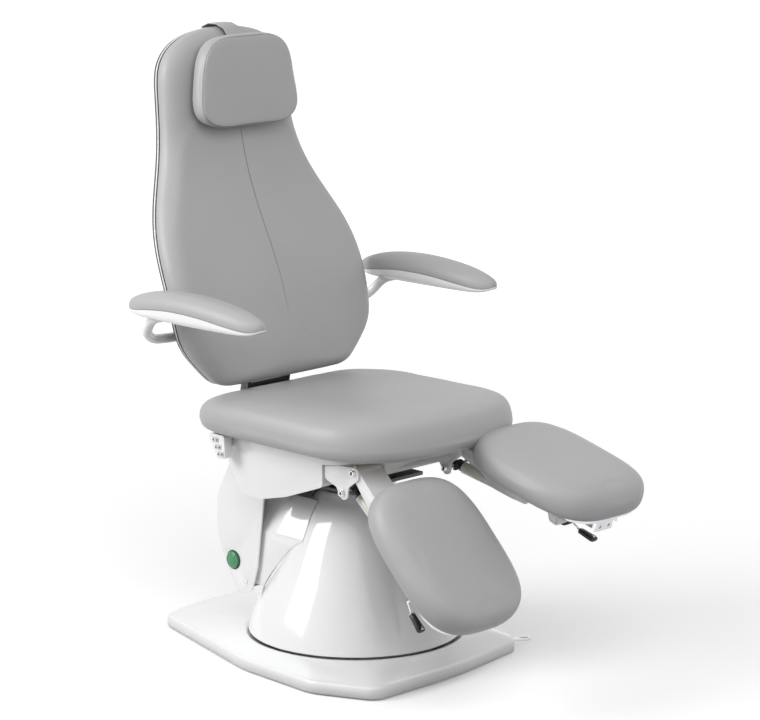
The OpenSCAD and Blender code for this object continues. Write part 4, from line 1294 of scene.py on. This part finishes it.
class SPACHAIR_OT_stage(Builder):
    """Makes the floor, the lights, the background and the camera"""

    bl_idname = "spachair.stage"
    bl_label = "Stage"

    def execute(self, context):
        """Plain pale floor and soft light at a plain level."""
        settings = context.scene.spachair_stage
        self.floor(settings)
        self.background()
        for name, place, size, power in (
                ("key", (-2.9, 1.7, 2.2), 2.0, settings.key),
                ("front", (-1.7, -2.9, 3.2), 2.8, settings.front),
                ("fill", (2.6, -2.6, 2.4), 2.2, settings.fill)):
            data = bpy.data.lights.new(name + "_light", "AREA")
            data.energy = power
            data.size = size
            lamp = placed(name + "_light", data)
            lamp.location = place
            lamp.visible_glossy = name == "key"
            aim = Vector((0, 0.1, 0.6)) - lamp.location
            lamp.rotation_euler = aim.to_track_quat("-Z", "Y").to_euler()
        self.camera(context, settings)
        context.scene.view_settings.view_transform = "Standard"
        return {"FINISHED"}

    def floor(self, settings):
        """A large pale floor that brightens into the background with distance."""
        material = bpy.data.materials.new("floor")
        material.use_nodes = True
        shader = material.node_tree.nodes["Principled BSDF"]
        shader.inputs["Roughness"].default_value = 0.6
        tree = material.node_tree
        colour = tree.nodes.new("ShaderNodeMix")
        colour.data_type = "RGBA"
        colour.inputs["A"].default_value = (*[c * settings.bounce for c in settings.floor], 1)
        colour.inputs["B"].default_value = (*settings.floor, 1)
        tree.links.new(self.seen(tree), colour.inputs["Factor"])
        tree.links.new(colour.outputs["Result"], shader.inputs["Base Color"])
        glow = tree.nodes.new("ShaderNodeEmission")
        far = tree.nodes.new("ShaderNodeVectorMath")
        far.operation = "LENGTH"
        tree.links.new(object_place(tree), far.inputs[0])
        level = remap(tree, far.outputs["Value"], 0.8, 5.0, 0.15, settings.glow)
        tree.links.new(math_node(tree, "MULTIPLY", self.seen(tree), level), glow.inputs["Strength"])
        both = tree.nodes.new("ShaderNodeAddShader")
        tree.links.new(shader.outputs["BSDF"], both.inputs[0])
        tree.links.new(glow.outputs["Emission"], both.inputs[1])
        tree.links.new(both.outputs["Shader"], tree.nodes["Material Output"].inputs["Surface"])
        reach = 40.0
        vertices = [(-reach, -reach, 0), (reach, -reach, 0), (reach, reach, 0), (-reach, reach, 0)]
        plane = new_object("floor", vertices, [(0, 1, 2, 3)], material)

    def background(self):
        """White where the camera or a reflection sees it, and a plain level of light elsewhere."""
        world = bpy.data.worlds.new("studio")
        bpy.context.scene.world = world
        world.use_nodes = True
        tree = world.node_tree
        shade = tree.nodes["Background"]
        shade.inputs["Color"].default_value = (1, 1, 1, 1)
        tree.links.new(remap(tree, self.seen(tree), 0.0, 1.0, 0.50, 1.0), shade.inputs["Strength"])

    def seen(self, tree):
        """1 on the rays of the camera, of reflections and through clear material."""
        path = tree.nodes.new("ShaderNodeLightPath")
        direct = math_node(tree, "MAXIMUM", path.outputs["Is Camera Ray"], path.outputs["Is Transmission Ray"])
        return math_node(tree, "MAXIMUM", direct, path.outputs["Is Glossy Ray"])

    def camera(self, context, settings):
        """A long lens that looks a little down at the middle of the chair."""
        aside, high = 0.0533, 0.6551
        target = Vector((aside * math.cos(settings.azimuth), aside * math.sin(settings.azimuth), high))
        way = Vector((-math.sin(settings.azimuth) * math.cos(settings.pitch),
                      math.cos(settings.azimuth) * math.cos(settings.pitch), -math.sin(settings.pitch)))
        data = bpy.data.cameras.new("camera")
        data.lens = settings.lens
        data.sensor_width = 36
        camera = placed("camera", data)
        camera.location = target - way * settings.distance
        camera.rotation_euler = (math.pi / 2 - settings.pitch, 0, settings.azimuth)
        context.scene.camera = camera


OPERATORS = (SPACHAIR_OT_finishes, SPACHAIR_OT_base, SPACHAIR_OT_turret, SPACHAIR_OT_carriage,
             SPACHAIR_OT_seat, SPACHAIR_OT_back, SPACHAIR_OT_headrest, SPACHAIR_OT_armrests,
             SPACHAIR_OT_leg_rests, SPACHAIR_OT_handset, SPACHAIR_OT_stage)


class SPACHAIR_PT_panel(bpy.types.Panel):
    """Settings of the chair and one button for each of its groups of pieces"""

    bl_idname = "SPACHAIR_PT_panel"
    bl_label = "Spa Chair"
    bl_space_type = "VIEW_3D"
    bl_region_type = "UI"
    bl_category = "Spa Chair"

    def draw(self, context):
        """Lists the settings, then the operators."""
        layout = self.layout
        for settings in (context.scene.spachair_upholstery, context.scene.spachair_shells,
                         context.scene.spachair_stage):
            box = layout.box()
            for label in settings.__annotations__:
                box.prop(settings, label)
        for operator in OPERATORS:
            layout.operator(operator.bl_idname)


def register():
    """Adds the settings, the operators and the panel."""
    for group in GROUPS:
        bpy.utils.register_class(group)
    bpy.types.Scene.spachair_upholstery = bpy.props.PointerProperty(type=SPACHAIR_PG_upholstery)
    bpy.types.Scene.spachair_shells = bpy.props.PointerProperty(type=SPACHAIR_PG_shells)
    bpy.types.Scene.spachair_stage = bpy.props.PointerProperty(type=SPACHAIR_PG_stage)
    for operator in OPERATORS:
        bpy.utils.register_class(operator)
    bpy.utils.register_class(SPACHAIR_PT_panel)


def unregister():
    """Takes away what register added."""
    bpy.utils.unregister_class(SPACHAIR_PT_panel)
    for operator in reversed(OPERATORS):
        bpy.utils.unregister_class(operator)
    del bpy.types.Scene.spachair_upholstery
    del bpy.types.Scene.spachair_shells
    del bpy.types.Scene.spachair_stage
    for group in reversed(GROUPS):
        bpy.utils.unregister_class(group)


def main():
    """Builds the chair and its stage."""
    register()
    for operator in OPERATORS:
        group, name = operator.bl_idname.split(".")
        getattr(getattr(bpy.ops, group), name)()
    bpy.context.view_layer.update()


if __name__ == "__main__":
    main()
